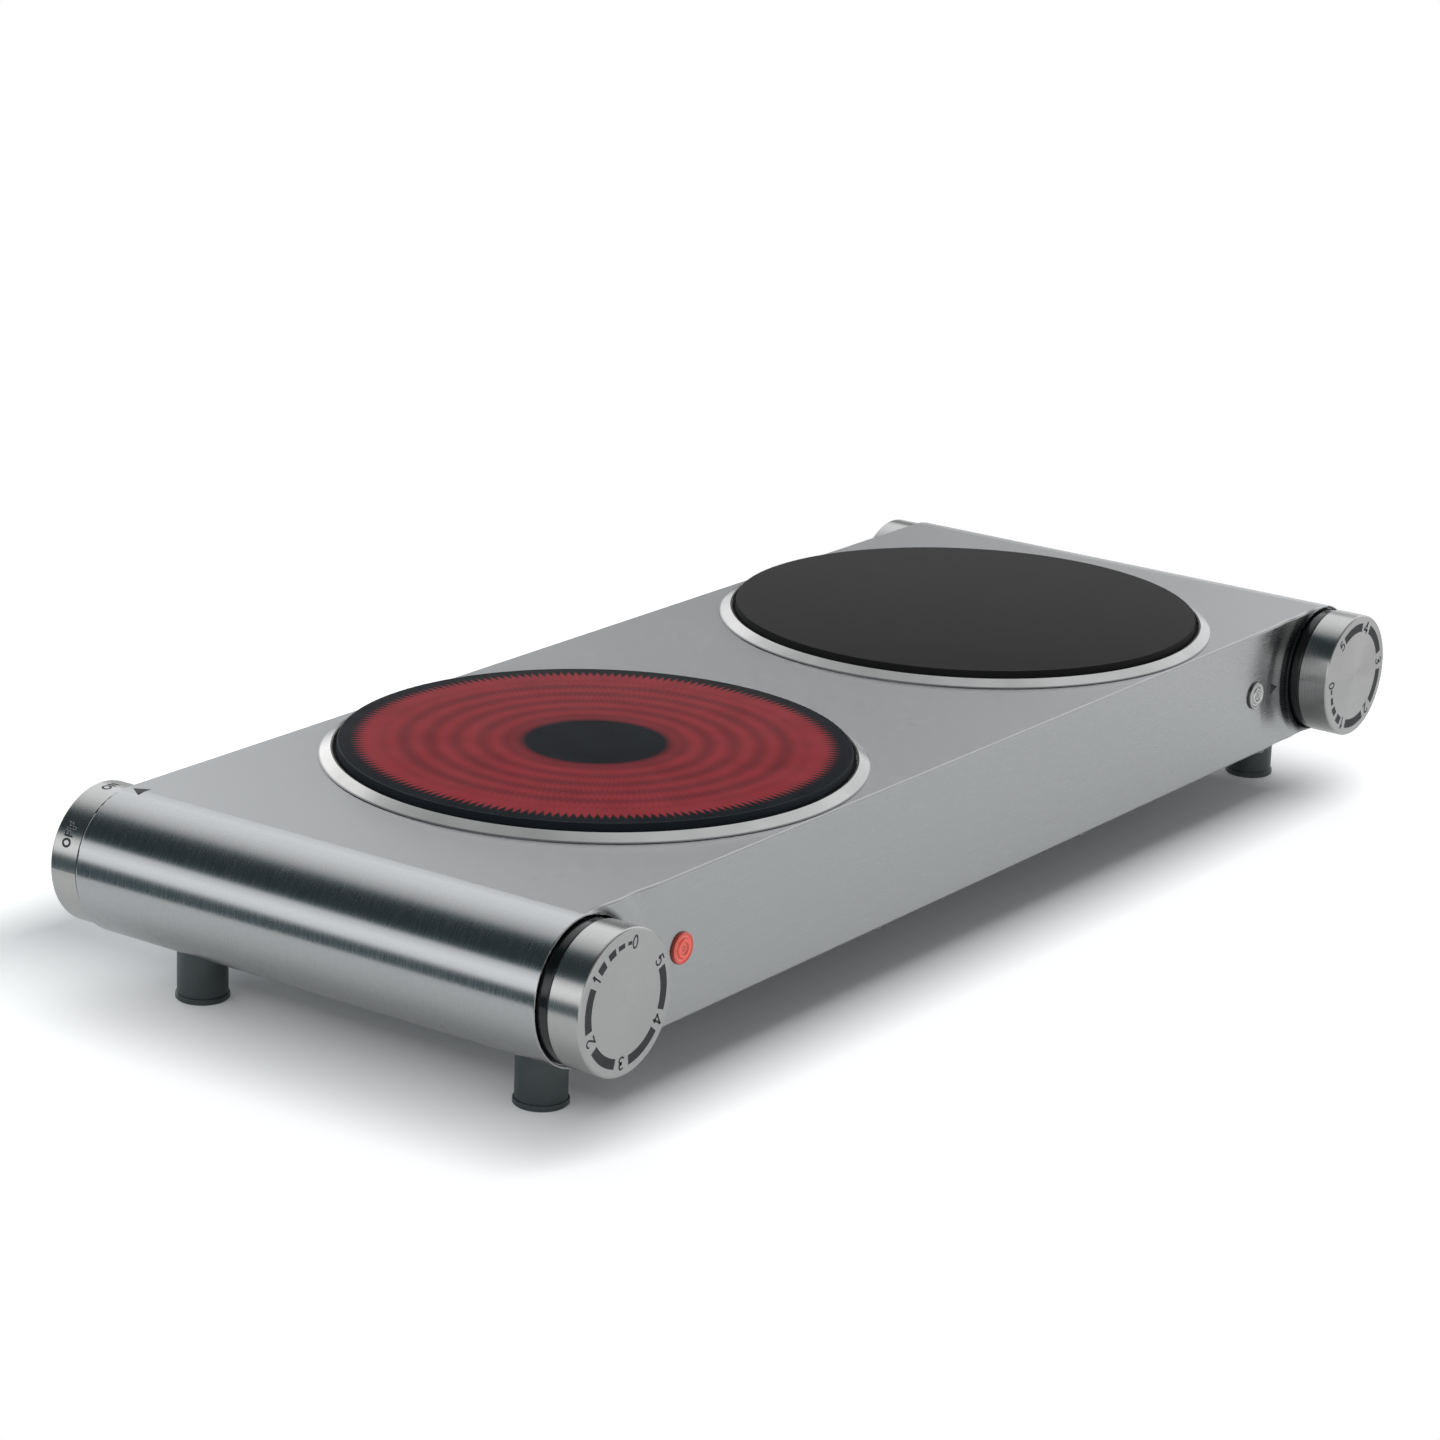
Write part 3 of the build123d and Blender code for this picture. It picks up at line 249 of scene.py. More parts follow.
# ---- metals -------------------------------------------------------------------------
def make_brushed_steel():
    """Sheet steel brushed along X, with the grain carried round the rolled ends."""
    material, tree, shader = new_material("brushed_steel")
    place = object_place(tree)
    normal = tree.nodes.new("ShaderNodeNewGeometry").outputs["Normal"]
    parts = separate(tree, normal)
    facing = math_node(tree, "ABSOLUTE", parts[1])
    on_panel = math_node(tree, "GREATER_THAN", facing, 0.7)
    on_top = remap(tree, parts[2], 0.985, 0.999)

    wrap_fine = stretched_noise(tree, place, (140, 2600, 140), 3.0)
    panel_fine = stretched_noise(tree, place, (140, 140, 2600), 3.0)
    fine = mix_value(tree, on_panel, wrap_fine, panel_fine)
    wrap_broad = stretched_noise(tree, place, (8, 1600, 8), 2.0)
    panel_broad = stretched_noise(tree, place, (8, 8, 1600), 2.0)
    broad = mix_value(tree, on_panel, wrap_broad, panel_broad)
    grain = math_node(tree, "ADD", fine, math_node(tree, "MULTIPLY", broad, 0.25))
    cloud = stretched_noise(tree, place, (9, 9, 9), 3.0)

    rest = math_node(tree, "SUBTRACT", 1.0, facing)
    tangent = combine(tree, 0.0, rest, facing)
    shade = remap(tree, grain, 0.4, 0.9)
    base_rough = mix_value(tree, on_top, 0.235, 0.36)
    upward = math_node(tree, "MULTIPLY", facing, parts[2])
    base_rough = mix_value(tree, remap(tree, upward, 0.2, 0.42), base_rough, 0.42)
    fine_rough = remap(tree, fine, 0.3, 0.7, -0.045, 0.05)
    cloud_rough = remap(tree, cloud, 0.3, 0.7, -0.012, 0.012)
    rough = math_node(tree, "ADD", base_rough, math_node(tree, "ADD", fine_rough, cloud_rough))
    steel = mix_colour(tree, shade, opaque(0.388, 0.394, 0.4), opaque(0.425, 0.43, 0.436))

    # painted shade: the lip of each front knob opening is painted black on the side of the lamps,
    # standing in for the shade in that recess
    knob_place = middle("front_right_knob_cap")
    spots = separate(tree, place)
    aside = math_node(tree, "SUBTRACT", math_node(tree, "ABSOLUTE", spots[0]), knob_place.x)
    above = math_node(tree, "SUBTRACT", spots[2], knob_place.z)
    from_axis = distance(tree, combine(tree, aside, above, 0.0), (1, 1, 0))
    painted_lip_shade = 1.0
    for value, (dark, unshaded) in ((from_axis, LIP_SHADE), (aside, LIP_SIDE), (spots[1], LIP_FRONT)):
        painted_lip_shade = math_node(tree, "MULTIPLY", remap(tree, value, dark * MM, unshaded * MM, 1.0, 0.0), painted_lip_shade)
    set_inputs(
        tree,
        shader,
        Base_Color=mix_colour(tree, painted_lip_shade, steel, opaque(*LIP_SHADE_COLOUR)),
        Metallic=1.0,
        Roughness=rough,
        Anisotropic=0.88,
        Tangent=tangent,
        Normal=bump(tree, grain, mix_value(tree, on_panel, 0.09, 0.03), 0.00003),
    )
    return material


def make_turned_steel():
    """Knob steel turned about Y: a satin face with faint circles, a finer rim."""
    material, tree, shader = new_material("knob_steel")
    place = object_place(tree)
    tangent = add_node(tree, "ShaderNodeTangent", direction_type="RADIAL", axis="Y").outputs[0]
    radius = distance(tree, box_place(tree), (1, 0, 1))
    across = combine(tree, radius, separate(tree, place)[1], 0.0)
    rings = stretched_noise(tree, across, (70, 2600, 1), 3.0)
    satin = stretched_noise(tree, across, (160, 4200, 1), 3.0)
    slow = stretched_noise(tree, place, (50, 50, 50), 2.0)
    grain = math_node(tree, "ADD", rings, math_node(tree, "MULTIPLY", slow, 0.4))
    shade = remap(tree, grain, 0.4, 1.0)
    set_inputs(
        tree,
        shader,
        Base_Color=mix_colour(tree, shade, opaque(0.405, 0.405, 0.4), opaque(0.435, 0.435, 0.43)),
        Metallic=1.0,
        Roughness=remap(tree, satin, 0.3, 0.7, 0.24, 0.28),
        Anisotropic=0.8,
        Anisotropic_Rotation=0.25,
        Tangent=tangent,
        Normal=bump(tree, rings, 0.03, 0.00002),
    )
    return material


def make_ring_steel():
    """Trim ring: softly polished round the Z axis, with a painted contact shadow as a dark line at
    its foot.
    """
    material, tree, shader = new_material("polished_ring")
    place = object_place(tree)
    radius = distance(tree, box_place(tree), (1, 1, 0))
    tangent = add_node(tree, "ShaderNodeTangent", direction_type="RADIAL", axis="Z").outputs[0]
    rings = stretched_noise(tree, combine(tree, radius, 0.0, 0.0), (700, 1, 1), 3.0)
    slow = stretched_noise(tree, place, (45, 45, 45), 2.0)
    shade = remap(tree, slow, 0.35, 0.65)
    polish = mix_colour(tree, shade, opaque(0.345, 0.345, 0.34), opaque(0.4, 0.4, 0.395))
    # painted shade: a dark line at the ring's outer foot stands in for its contact shadow
    painted_foot_shade = remap(tree, radius, 0.4968, 0.4982)
    set_inputs(
        tree,
        shader,
        Base_Color=mix_colour(tree, painted_foot_shade, polish, opaque(0.13, 0.135, 0.14)),
        Metallic=1.0,
        Roughness=remap(tree, rings, 0.3, 0.7, 0.15, 0.22),
        Anisotropic=0.6,
        Anisotropic_Rotation=0.25,
        Tangent=tangent,
        Normal=bump(tree, rings, 0.03, 0.00002),
    )
    return material


def make_sheet_metal(name, low, high, rough, grain_size):
    """Plain metal with a faint mottled surface."""
    material, tree, shader = new_material(name)
    place = object_place(tree)
    mottle = stretched_noise(tree, place, (grain_size,) * 3, 4.0, 0.6)
    cells = add_node(tree, "ShaderNodeTexVoronoi", {"Vector": place, "Scale": grain_size * 0.6})
    patches = remap(tree, cells.outputs["Color"], 0.0, 1.0, -0.12, 0.12)
    blend = math_node(tree, "ADD", mottle, patches)
    set_inputs(
        tree,
        shader,
        Base_Color=mix_colour(tree, remap(tree, blend, 0.3, 0.7), low, high),
        Metallic=1.0,
        Roughness=remap(tree, blend, 0.3, 0.7, rough, rough + 0.14),
        Normal=bump(tree, mottle, 0.1, 0.0001),
    )
    return material


# ---- plastics, rubber, ink ------------------------------------------------------------
def make_moulded(name, low, high, rough, texture_size, depth, specular=0.5):
    """Moulded plastic, rubber or ink with a fine surface texture."""
    material, tree, shader = new_material(name)
    place = object_place(tree)
    fine = stretched_noise(tree, place, (texture_size,) * 3, 3.0)
    cloud = stretched_noise(tree, place, (120, 120, 120), 3.0)
    set_inputs(
        tree,
        shader,
        Base_Color=mix_colour(tree, remap(tree, cloud, 0.35, 0.65), low, high),
        Roughness=remap(tree, fine, 0.3, 0.7, rough - 0.05, rough + 0.07),
        Specular_IOR_Level=specular,
        Normal=bump(tree, fine, 0.25, depth),
    )
    return material


# ---- glass ------------------------------------------------------------------------------
def make_glass(name, low, high):
    """Black ceramic glass, faintly clouded, with a satin gloss and a matt ground edge."""
    material, tree, shader = new_material(name)
    place = object_place(tree)
    cloud = stretched_noise(tree, place, (70, 70, 70), 4.0)
    fine = stretched_noise(tree, place, (1500, 1500, 1500), 2.0)
    gloss = remap(tree, cloud, 0.3, 0.7, 0.118, 0.134)
    normal = tree.nodes.new("ShaderNodeNewGeometry").outputs["Normal"]
    ground_edge = remap(tree, separate(tree, normal)[2], 0.985, 0.999, 1.0, 0.0)
    set_inputs(
        tree,
        shader,
        Base_Color=mix_colour(tree, remap(tree, cloud, 0.35, 0.65), low, high),
        Roughness=mix_value(tree, ground_edge, gloss, 0.95),
        Specular_IOR_Level=0.5,
        Normal=bump(tree, fine, 0.02, 0.00001),
    )
    return material, tree, shader


def add_glow(tree, shader, centre):
    """Red ribbon heater seen through the glass, with a toothed outer edge."""
    local = vector_node(tree, "SUBTRACT", object_place(tree), tuple(centre))
    radius = math_node(tree, "MULTIPLY", distance(tree, local, (1, 1, 0)), 1 / MM)
    parts = separate(tree, local)
    angle = math_node(tree, "ARCTAN2", parts[1], parts[0])
    turns = math_node(tree, "MULTIPLY", angle, GLOW_TEETH / tau)
    wave = math_node(tree, "MULTIPLY", math_node(tree, "PINGPONG", turns, 0.5), 2.0)

    # the edge comes inwards by one tooth between the ribbon's folds
    toothed = math_node(tree, "ADD", radius, math_node(tree, "MULTIPLY", wave, GLOW_TOOTH))
    edge = remap(tree, toothed, GLOW_OUTER_R + GLOW_EDGE[0], GLOW_OUTER_R + GLOW_EDGE[1], 1.0, 0.0)
    core = remap(tree, radius, GLOW_INNER_R, GLOW_INNER_R + GLOW_CORE_FADE)
    swing = math_node(tree, "ADD", radius, math_node(tree, "MULTIPLY", wave, RIBBON_PITCH / 4))
    across = math_node(tree, "COSINE", math_node(tree, "MULTIPLY", swing, tau / RIBBON_PITCH))
    outside = remap(tree, radius, *RIBBON_END)
    turn_level = remap(tree, across, -1.0, 1.0, 0.62, 1.0)
    level = mix_value(tree, outside, turn_level, 1.0)
    heat = stretched_noise(tree, local, (60, 60, 60), 2.0)
    level = math_node(tree, "MULTIPLY", level, remap(tree, heat, 0.3, 0.7, 0.86, 1.08))
    shown = math_node(tree, "MULTIPLY", math_node(tree, "MULTIPLY", edge, core), level)
    glow = mix_colour(tree, shown, opaque(0.0), opaque(*GLOW_COLOUR))
    set_inputs(tree, shader, Emission_Color=glow, Emission_Strength=1.0)


# rings of the lens material, in millimetres
DIMPLE_RING_R = 3.75
DIMPLES = 8
LENS_BAND_PITCH = 1.35
LENS_DARK = 0.22                    # dark bands, as a share of the full colour


def make_lens_material(name, centre, body, lit):
    """Ribbed lens: concentric bands and a ring of small dimples, lit or clear, with painted shade
    darkening its rim.
    """
    material, tree, shader = new_material(name)
    local = vector_node(tree, "SUBTRACT", object_place(tree), tuple(centre))
    radius = math_node(tree, "MULTIPLY", distance(tree, local, (1, 0, 1)), 1 / MM)
    parts = separate(tree, local)
    angle = math_node(tree, "ARCTAN2", parts[2], parts[0])
    turns = math_node(tree, "MULTIPLY", angle, DIMPLES / 2)
    wave = math_node(tree, "ABSOLUTE", math_node(tree, "SINE", turns))
    near = math_node(tree, "ABSOLUTE", math_node(tree, "SUBTRACT", radius, DIMPLE_RING_R))
    in_turn = remap(tree, wave, 0.0, 0.32, 1.0, 0.0)
    in_ring = remap(tree, near, 0.2, 0.45, 1.0, 0.0)
    dimple = math_node(tree, "MULTIPLY", in_turn, in_ring)
    rings = math_node(tree, "COSINE", math_node(tree, "MULTIPLY", radius, tau / LENS_BAND_PITCH))
    level = remap(tree, rings, -1.0, 1.0, 0.4, 1.0)
    level = math_node(tree, "MULTIPLY", level, remap(tree, dimple, 0.0, 1.0, 1.0, 0.45))
    level = math_node(tree, "MULTIPLY", level, remap(tree, radius, 1.6, 2.0, 0.78, 1.0))
    # painted shade: the lens fades to black at its rim, standing in for the thin shadow round its
    # edge
    level = math_node(tree, "MULTIPLY", level, remap(tree, radius, 5.1, 5.4, 1.0, 0.0))
    shade = opaque(*(c * LENS_DARK for c in body[:3]))
    set_inputs(
        tree,
        shader,
        Base_Color=mix_colour(tree, level, shade, body),
        Roughness=remap(tree, rings, -1.0, 1.0, 0.08, 0.2),
        Specular_IOR_Level=0.6,
        Metallic=0.0 if lit else 0.7,
    )
    if lit:
        glow = mix_colour(tree, level, opaque(*(c * LENS_DARK for c in lit[:3])), lit)
        set_inputs(tree, shader, Emission_Color=glow, Emission_Strength=1.0)
    return material


# ---- materials for the record's slots ---------------------------------------------------
MATERIALS = {
    "brushed_steel": make_brushed_steel(),
    "knob_steel": make_turned_steel(),
    "polished_ring": make_ring_steel(),
    "galvanised_steel": make_sheet_metal(
        "galvanised_steel", opaque(0.36, 0.37, 0.39), opaque(0.5, 0.51, 0.53), 0.34, 240
    ),
    "zinc_fastener": make_sheet_metal("zinc_fastener", opaque(0.16), opaque(0.24), 0.34, 900),
    "ribbon": make_sheet_metal(
        "ribbon", opaque(0.1, 0.09, 0.085), opaque(0.17, 0.15, 0.14), 0.5, 900
    ),
    "black_rubber": make_moulded(
        "black_rubber", opaque(0.021, 0.032, 0.035), opaque(0.03, 0.043, 0.046),
        0.42, 2200, 0.0001, 0.7,
    ),
    "gloss_black": make_moulded(
        "gloss_black", opaque(0.004, 0.005, 0.005), opaque(0.007, 0.008, 0.009), 0.16, 900, 0.00003
    ),
    "black_plastic": make_moulded("black_plastic", opaque(0.012), opaque(0.02), 0.45, 1800, 0.0002),
    "heat_seal": make_moulded("heat_seal", opaque(0.02), opaque(0.035), 0.8, 1500, 0.0003, 0.1),
    "insulation": make_moulded(
        "insulation", opaque(0.5, 0.48, 0.43), opaque(0.6, 0.58, 0.52), 0.9, 900, 0.0006, 0.1
    ),
    "ceramic": make_moulded(
        "ceramic", opaque(0.7, 0.69, 0.66), opaque(0.78, 0.77, 0.74), 0.35, 700, 0.0001
    ),
    "wire_jacket": make_moulded(
        "wire_jacket", opaque(0.35, 0.33, 0.3), opaque(0.42, 0.4, 0.36), 0.6, 1500, 0.0002
    ),
}
INK = make_moulded(
    "dial_ink", opaque(0.022, 0.024, 0.026), opaque(0.03, 0.032, 0.035), 0.5, 2500, 0.00002, 0.3
)
HALO = make_moulded(
    "dial_halo", opaque(0.42, 0.425, 0.43), opaque(0.5, 0.505, 0.51), 0.5, 2500, 0.00002
)
PRINT_LAYERS = (("print", INK, 0.0, INK_RISE), ("outline", HALO, HALO_SPREAD, HALO_RISE))


def paint_nodes():
    """Give every CAD node the finished material of its slot."""
    for node in NODES.values():
        for slot in node.material_slots:
            name = slot.material.name.split(".")[0] if slot.material else ""
            if name in MATERIALS:
                slot.material = MATERIALS[name]


def paint_glasses():
    """Black glass on both burners; the left heater is on."""
    right, _, _ = make_glass(
        "right_glass", opaque(0.004, 0.004, 0.0042), opaque(0.006, 0.006, 0.0062)
    )
    left, tree, shader = make_glass(
        "left_glass", opaque(0.003, 0.007, 0.012), opaque(0.004, 0.009, 0.015)
    )
    add_glow(tree, shader, middle("left_glass"))
    NODES["right_glass"].material_slots[0].material = right
    NODES["left_glass"].material_slots[0].material = left


# ---- pieces ---------------------------------------------------------------------------
def add_piece(name, vertices, faces, material, body):
    """Mesh piece in millimetres that rides on a CAD body."""
    mesh = bpy.data.meshes.new(name)
    mesh.from_pydata([Vector(v) * MM for v in vertices], [], faces)
    mesh.materials.append(material)
    mesh.update()
    piece = bpy.data.objects.new(name, mesh)
    bpy.context.scene.collection.objects.link(piece)
    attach(piece, body)
    return piece


def strip_slab(inner, outer, low, high):
    """Flat slab between two rows of 2-D points, as 3-D points (u, v, depth) and faces."""
    points = []
    for first, second in zip(inner, outer):
        points += [(*first, low), (*first, high), (*second, low), (*second, high)]
    faces = [(0, 2, 3, 1)]
    last = 4 * (len(inner) - 1)
    for start in range(0, last, 4):
        following = start + 4
        faces.append((start + 1, start + 3, following + 3, following + 1))
        faces.append((start, following, following + 2, start + 2))
        faces.append((start, start + 1, following + 1, following))
        faces.append((start + 2, following + 2, following + 3, start + 3))
    faces.append((last, last + 1, last + 3, last + 2))
    return points, faces


def arc_slab(start, end, radius, width, low, high):
    """Part of a flat ring, from start to end degrees."""
    steps = max(2, round((end - start) / ARC_STEP))
    angles = [radians(start + (end - start) * i / steps) for i in range(steps + 1)]
    inner = [((radius - width / 2) * cos(a), (radius - width / 2) * sin(a)) for a in angles]
    outer = [((radius + width / 2) * cos(a), (radius + width / 2) * sin(a)) for a in angles]
    return strip_slab(inner, outer, low, high)


def arc_path(centre, radii, start, end):
    """Part of an ellipse from start to end degrees, as points."""
    steps = max(4, round(abs(end - start) / STROKE_STEP))
    angles = [radians(start + (end - start) * i / steps) for i in range(steps + 1)]
    return [(centre[0] + radii[0] * cos(a), centre[1] + radii[1] * sin(a)) for a in angles]


# centre lines of the strokes, one unit tall round the sign's own middle
STROKES = {
    "0": [arc_path((0, 0), (0.23, 0.43), 0, 360)],
    "1": [[(-0.17, 0.18), (0.05, 0.44)], [(0.07, 0.5), (0.07, -0.5)]],
    "2": [arc_path((0, 0.19), (0.25, 0.24), 170, -35) + [(-0.25, -0.43), (0.29, -0.43)]],
    "3": [
        arc_path((-0.01, 0.215), (0.22, 0.215), 150, -90),
        arc_path((-0.01, -0.205), (0.27, 0.225), 90, -150),
    ],
    "4": [
        [(0.14, 0.5), (0.14, -0.5)],
        [(0.13, 0.45), (-0.32, -0.2)],
        [(-0.34, -0.22), (0.33, -0.22)],
    ],
    "5": [
        [(0.25, 0.43), (-0.16, 0.43), (-0.2, 0.02)],
        arc_path((0, -0.155), (0.27, 0.275), 135, -150),
    ],
    "O": [arc_path((0, 0), (0.36, 0.43), 0, 360)],
    "F": [[(-0.22, -0.5), (-0.22, 0.43), (0.27, 0.43)], [(-0.22, 0.02), (0.2, 0.02)]],
    "N": [
        [(-0.28, -0.5), (-0.28, 0.5)],
        [(-0.28, 0.44), (0.28, -0.44)],
        [(0.28, -0.5), (0.28, 0.5)],
    ],
}


def stroke_slab(path, width, spread, low, high):
    """Slab of even width along a path, grown by spread at its sides and open ends."""
    spots = [Vector(spot) for spot in path]
    steps = [(after - before).normalized() for before, after in zip(spots, spots[1:])]
    closed = (spots[0] - spots[-1]).length < 1e-6
    left, right = [], []
    for i, spot in enumerate(spots):
        entering = steps[i - 1] if i or closed else steps[0]
        leaving = steps[i % len(steps)] if i < len(steps) or closed else steps[-1]
        heading = (entering + leaving).normalized()
        across = Vector((-heading.y, heading.x)) * (width / 2 + spread) / heading.dot(leaving)
        if not closed:
            spot = spot + heading * spread * ((i == len(spots) - 1) - (i == 0))
        left.append(tuple(spot + across))
        right.append(tuple(spot - across))
    return strip_slab(left, right, low, high)


def letter_slab(text, height, spread, low, high):
    """Letters or numerals as slabs round the origin: points (u, v, depth) and faces."""
    halves = [max(abs(x) for path in STROKES[sign] for x, _ in path) * height for sign in text]
    total = 2 * sum(halves) + LETTER_GAP * height * (len(text) - 1)
    start = -total / 2
    slabs = []
    for sign, half in zip(text, halves):
        for path in STROKES[sign]:
            placed = [(start + half + x * height, y * height) for x, y in path]
            slabs.append(stroke_slab(placed, STROKE * height, spread, low, high))
        start += 2 * half + LETTER_GAP * height
    return join_slabs(slabs)


def dial_marks(spread, high):
    """All marks of one dial, its 0 at angle 0: points (u, v, depth) and faces."""
    low = -INK_SINK
    slabs = []
    grow = degrees(spread / BAND_R)
    bands = [(start, end, BAND_WIDTH) for start, end in BANDS]
    for start, end, width in (*bands, *DASHES):
        slabs.append(arc_slab(start - grow, end + grow, BAND_R, width + 2 * spread, low, high))
    for number, place in enumerate(NUMERAL_PLACES):
        turn = radians(place)
        points, faces = letter_slab(str(number), NUMERAL_HEIGHT, spread, low, high)
        placed = []
        for u, v, depth in points:
            out = NUMERAL_R + v
            across = out * cos(turn) + u * sin(turn)
            up = out * sin(turn) - u * cos(turn)
            placed.append((across, up, depth))
        slabs.append((placed, faces))
    return join_slabs(slabs)


def join_slabs(slabs):
    """One list of points and faces from several."""
    all_points, all_faces = [], []
    for points, faces in slabs:
        first = len(all_points)
        all_points += points
        all_faces += [tuple(first + i for i in face) for face in faces]
    return all_points, all_faces


def add_dial(hand):
    """Print on one front knob's face."""
    low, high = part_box(f"front_{hand}_knob_cap")
    face_y = low.y / MM
    centre = (low + high) / 2 / MM
    turn = radians(DIAL_TURN[hand])
    for layer, material, spread, rise in PRINT_LAYERS:
        points, faces = dial_marks(spread, rise)
        placed = []
        for u, v, depth in points:
            x = centre.x + u * cos(turn) - v * sin(turn)
            z = centre.z + u * sin(turn) + v * cos(turn)
            placed.append((x, face_y - depth, z))
        name = f"front_{hand}_dial_{layer}"
        add_piece(name, placed, faces, material, f"front_{hand}_knob")


def add_front_marks():
    """Dark pointer beside each knob, laid on the dished front panel."""
    housing = NODES["top_housing"]
    tree = BVHTree.FromObject(housing, bpy.context.evaluated_depsgraph_get())
    base_x, apex_x, mid_z, half = FRONT_MARK
    for hand, sign in (("left", -1), ("right", 1)):
        upper, lower = [], []
        for i in range(POINTER_ROWS + 1):
            x = base_x + (apex_x - base_x) * i / POINTER_ROWS
            reach = max(half * (1 - i / POINTER_ROWS), POINTER_TIP)
            upper.append((sign * x, mid_z + reach))
            lower.append((sign * x, mid_z - reach))
        first, second = (upper, lower) if sign > 0 else (lower, upper)
        points, faces = strip_slab(second, first, -INK_SINK, INK_RISE)
        placed = []
        for x, z, depth in points:
            hit = tree.ray_cast(Vector((x * MM, -1.0, z * MM)), Vector((0, 1, 0)))[0]
            placed.append((x, hit.y / MM - depth, z))
        flipped = [tuple(reversed(face)) for face in faces]
        add_piece(f"front_{hand}_pointer", placed, flipped, INK, "base")


def add_top_mark():
    """Pointer on the top plate beside the switch cap."""
    top_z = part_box("top_housing")[1].z / MM
    mid_x, base_y, apex_y, half = TOP_MARK
    left = [(mid_x - half, base_y), (mid_x - POINTER_TIP, apex_y)]
    right = [(mid_x + half, base_y), (mid_x + POINTER_TIP, apex_y)]
    points, faces = strip_slab(right, left, -INK_SINK, INK_RISE)
    placed = [(x, y, top_z + depth) for x, y, depth in points]
    flipped = [tuple(reversed(face)) for face in faces]
    add_piece("switch_pointer", placed, flipped, INK, "base")


def add_switch_words():
    """OFF and ON round the rim of the switch cap."""
    low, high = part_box("rear_left_knob_cap")
    centre = (low + high) / 2 / MM
    radius = (high.x - low.x) / 2 / MM
    for word, place in SWITCH_WORDS:
        for layer, material, spread, rise in PRINT_LAYERS:
            grown = WORD_SPREAD + spread * WORD_HALO_SHARE
            points, faces = letter_slab(word, SWITCH_LETTER_HEIGHT, grown, -INK_SINK, rise)
            placed = []
            for u, v, depth in points:
                turn = radians(place) - u / radius
                out = radius + depth
                x = centre.x - out * sin(turn)
                z = centre.z + out * cos(turn)
                placed.append((x, centre.y + v, z))
            name = f"switch_{word}_{layer}"
            add_piece(name, placed, faces, material, "rear_left_knob")


# radius and height of the lens front above the panel, from the rim to the middle
LENS_PROFILE = (
    (5.5, 0.0), (5.5, 0.55), (5.38, 0.85), (5.1, 1.06), (4.75, 1.12), (4.5, 1.05), (4.35, 0.82),
    (4.1, 0.74), (3.4, 0.8), (3.2, 0.95), (3.05, 1.25), (2.8, 1.42), (2.5, 1.45), (2.25, 1.36),
    (2.1, 1.1), (1.9, 1.0), (1.0, 1.04), (0.0, 1.06),
)
LENS_POINTS = 64
LENS_STANDS = 1.5                   # CAD lens in front of the panel
LENS_STEM_R = 4.4


def add_lens(hand, material):
    """Ribbed lens turned about Y, in place of the plain CAD lens."""
    node = f"{hand}_lens"
    low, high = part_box(node)
    centre = (low + high) / 2 / MM
    back_y = high.y / MM
    panel_y = low.y / MM + LENS_STANDS
    back = panel_y - back_y
    profile = [(0.0, back), (LENS_STEM_R, back), (LENS_STEM_R, 0.0), *LENS_PROFILE]
    points, faces = [], []
    for radius, rise in profile:
        for i in range(LENS_POINTS):
            turn = tau * i / LENS_POINTS
            x = centre.x + radius * cos(turn)
            z = centre.z + radius * sin(turn)
            points.append((x, panel_y - rise, z))
    for row in range(len(profile) - 1):
        near = row * LENS_POINTS
        far = near + LENS_POINTS
        for i in range(LENS_POINTS):
            following = (i + 1) % LENS_POINTS
            faces.append((near + i, near + following, far + following, far + i))
    piece = add_piece(f"{hand}_ribbed_lens", points, faces, material, "base")
    for face in piece.data.polygons:
        face.use_smooth = True
    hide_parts(node)


def add_lenses():
    """Lit red lens on the left, clear unlit one on the right."""
    red_body, red_light = opaque(0.45, 0.05, 0.035), opaque(0.5, 0.075, 0.05)
    red = make_lens_material("lens_red", middle("left_lens"), red_body, red_light)
    clear_body = opaque(0.72, 0.725, 0.72)
    clear = make_lens_material("lens_clear", middle("right_lens"), clear_body, None)
    add_lens("left", red)
    add_lens("right", clear)


# ---- floor --------------------------------------------------------------------------------
def make_floor():
    """Pale round floor with painted light: it glows away from the shaded middle and melts into the
    white.
    """
    mesh = bpy.data.meshes.new("floor")
    rim = [tau * i / FLOOR_RIM_POINTS for i in range(FLOOR_RIM_POINTS)]
    points = [(FLOOR_R * cos(a), FLOOR_R * sin(a), 0) for a in rim]
    mesh.from_pydata(points, [], [tuple(range(len(rim)))])
    floor = bpy.data.objects.new("floor", mesh)
    bpy.context.scene.collection.objects.link(floor)
    material, tree, shader = new_material("floor_paper")
    place = object_place(tree)
    fine = stretched_noise(tree, place, (900, 900, 900), 3.0)
    centred = vector_node(tree, "SUBTRACT", place, (0, FOOTPRINT_Y, 0))
    apart = vector_node(tree, "ABSOLUTE", centred, (0, 0, 0))
    beyond = vector_node(tree, "SUBTRACT", apart, (*FOOTPRINT, 0.0))
    beyond = vector_node(tree, "MAXIMUM", beyond, (0, 0, 0))
    out = distance(tree, beyond, (ENDWAYS_SLOWNESS, 1, 0))
    near, far, strength = FLOOR_PAINTED_LIGHT
    # painted light: the floor's glow grows with distance from the shaded middle; camera rays see
    # all of it, other rays see a share
    seen = tree.nodes.new("ShaderNodeLightPath").outputs["Is Camera Ray"]
    share = mix_value(tree, seen, MIRRORED_PAINTED_LIGHT, 1.0)
    painted_floor_light = math_node(tree, "MULTIPLY", share, remap(tree, out, near, far, 0.0, strength))
    set_inputs(
        tree,
        shader,
        Base_Color=opaque(0.83, 0.845, 0.85),
        Roughness=0.9,
        Specular_IOR_Level=0.0,
        Emission_Color=opaque(1.0),
        Emission_Strength=painted_floor_light,
        Normal=bump(tree, fine, 0.02, 0.0001),
    )
    mesh.materials.append(material)


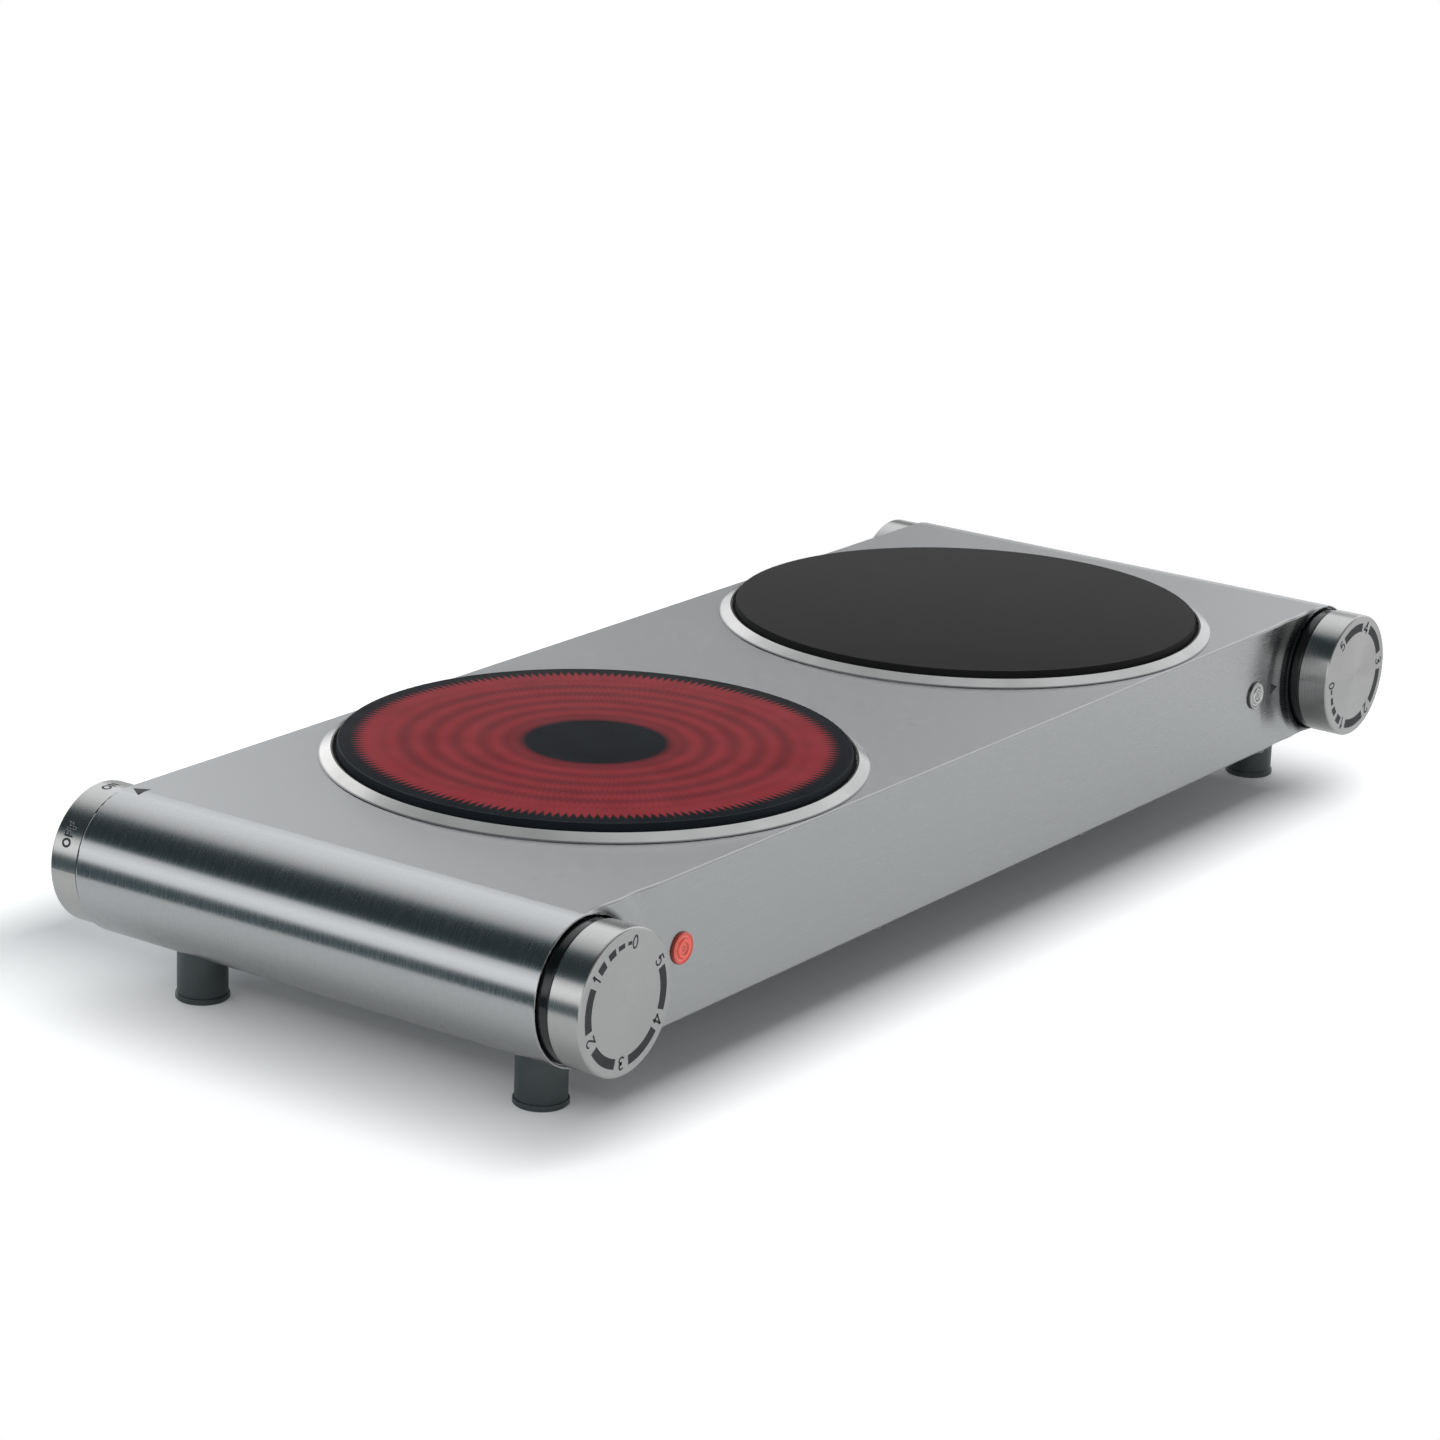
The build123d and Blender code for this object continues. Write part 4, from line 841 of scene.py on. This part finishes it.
# ---- light ----------------------------------------------------------------------------------
def sky_ramp(tree, angle):
    """Brightness round the Y axis: soft boxes and dark flags that run along Y."""
    along = remap(tree, angle, -pi, pi)
    ramp = tree.nodes.new("ShaderNodeValToRGB")
    stops = ramp.color_ramp.elements
    while len(stops) < len(SKY_STOPS):
        stops.new(0.5)
    for stop, (turn, level, tint) in zip(stops, SKY_STOPS):
        stop.position = (turn + 180) / 360
        stop.color = tuple(level * c / SKY_PEAK for c in tint) + (1,)
    tree.links.new(along, ramp.inputs[0])
    return vector_node(tree, "MULTIPLY", ramp.outputs[0], (SKY_PEAK,) * 3)


def make_world():
    """Studio surround, white where the camera sees it."""
    world = bpy.data.worlds.new("studio")
    bpy.context.scene.world = world
    world.use_nodes = True
    tree = world.node_tree
    tree.nodes.clear()
    direction = tree.nodes.new("ShaderNodeTexCoord").outputs["Generated"]
    x, y, z = separate(tree, direction)
    angle = math_node(tree, "ARCTAN2", math_node(tree, "MULTIPLY", x, -1.0), z)
    sky = sky_ramp(tree, angle)

    # a dimmer patch low on the right, which is what the black glass mirrors
    from_patch = math_node(tree, "ABSOLUTE", math_node(tree, "ADD", angle, radians(72)))
    in_angle = remap(tree, from_patch, radians(10), radians(14), 1.0, 0.0)
    patch = math_node(tree, "MULTIPLY", in_angle, remap(tree, y, 0.40, 0.43))
    patch = math_node(tree, "MULTIPLY", patch, remap(tree, y, 0.63, 0.66, 1.0, 0.0))
    patch_level = remap(tree, z, 0.272, 0.287, 0.24, 0.035)
    sky = mix_colour(tree, patch, sky, combine(tree, patch_level, patch_level, patch_level))

    # pale low down in front, dim above it, and a bright box high up behind
    front_level = remap(tree, z, 0.25, 0.5, 0.95, 0.2)
    front = remap(tree, y, -0.4, -0.15, 1.0, 0.0)
    far_back = remap(tree, y, 0.74, 0.82)
    right_side = remap(tree, angle, radians(-20), radians(-5), 1.0, 0.0)
    behind = math_node(tree, "MULTIPLY", far_back, right_side)
    behind = math_node(tree, "MULTIPLY", behind, remap(tree, z, 0.0, 0.1))
    sky = mix_colour(tree, front, sky, combine(tree, front_level, front_level, front_level))
    sky = mix_colour(tree, behind, sky, opaque(BOX_LEVEL))

    shown = add_node(tree, "ShaderNodeBackground", {0: sky, 1: 1.0}).outputs[0]
    backdrop = add_node(tree, "ShaderNodeBackground", {0: opaque(1.0), 1: 1.0}).outputs[0]
    seen = tree.nodes.new("ShaderNodeLightPath").outputs["Is Camera Ray"]
    mixed = add_node(tree, "ShaderNodeMixShader", {0: seen, 1: shown, 2: backdrop}).outputs[0]
    add_node(tree, "ShaderNodeOutputWorld", {0: mixed})


# ---- camera -----------------------------------------------------------------------------------
def make_camera():
    """Three-quarter view from the front left, a little above."""
    data = bpy.data.cameras.new("camera")
    data.lens = FOCAL_LENGTH
    data.sensor_width = 36.0
    data.clip_start = 0.05
    camera = bpy.data.objects.new("camera", data)
    bpy.context.scene.collection.objects.link(camera)
    back = -FORWARD.normalized()
    right = IMAGE_UP.cross(back).normalized()
    up = back.cross(right)
    turn = Matrix((right, up, back)).transposed().to_4x4()
    camera.matrix_world = Matrix.Translation(CAMERA_PLACE) @ turn
    bpy.context.scene.camera = camera


# ---- build ------------------------------------------------------------------------------------
paint_nodes()
paint_glasses()
for dial_hand in DIAL_TURN:
    add_dial(dial_hand)
add_front_marks()
add_top_mark()
add_switch_words()
add_lenses()
make_floor()
make_world()
make_camera()
bpy.context.scene.view_settings.view_transform = "Standard"
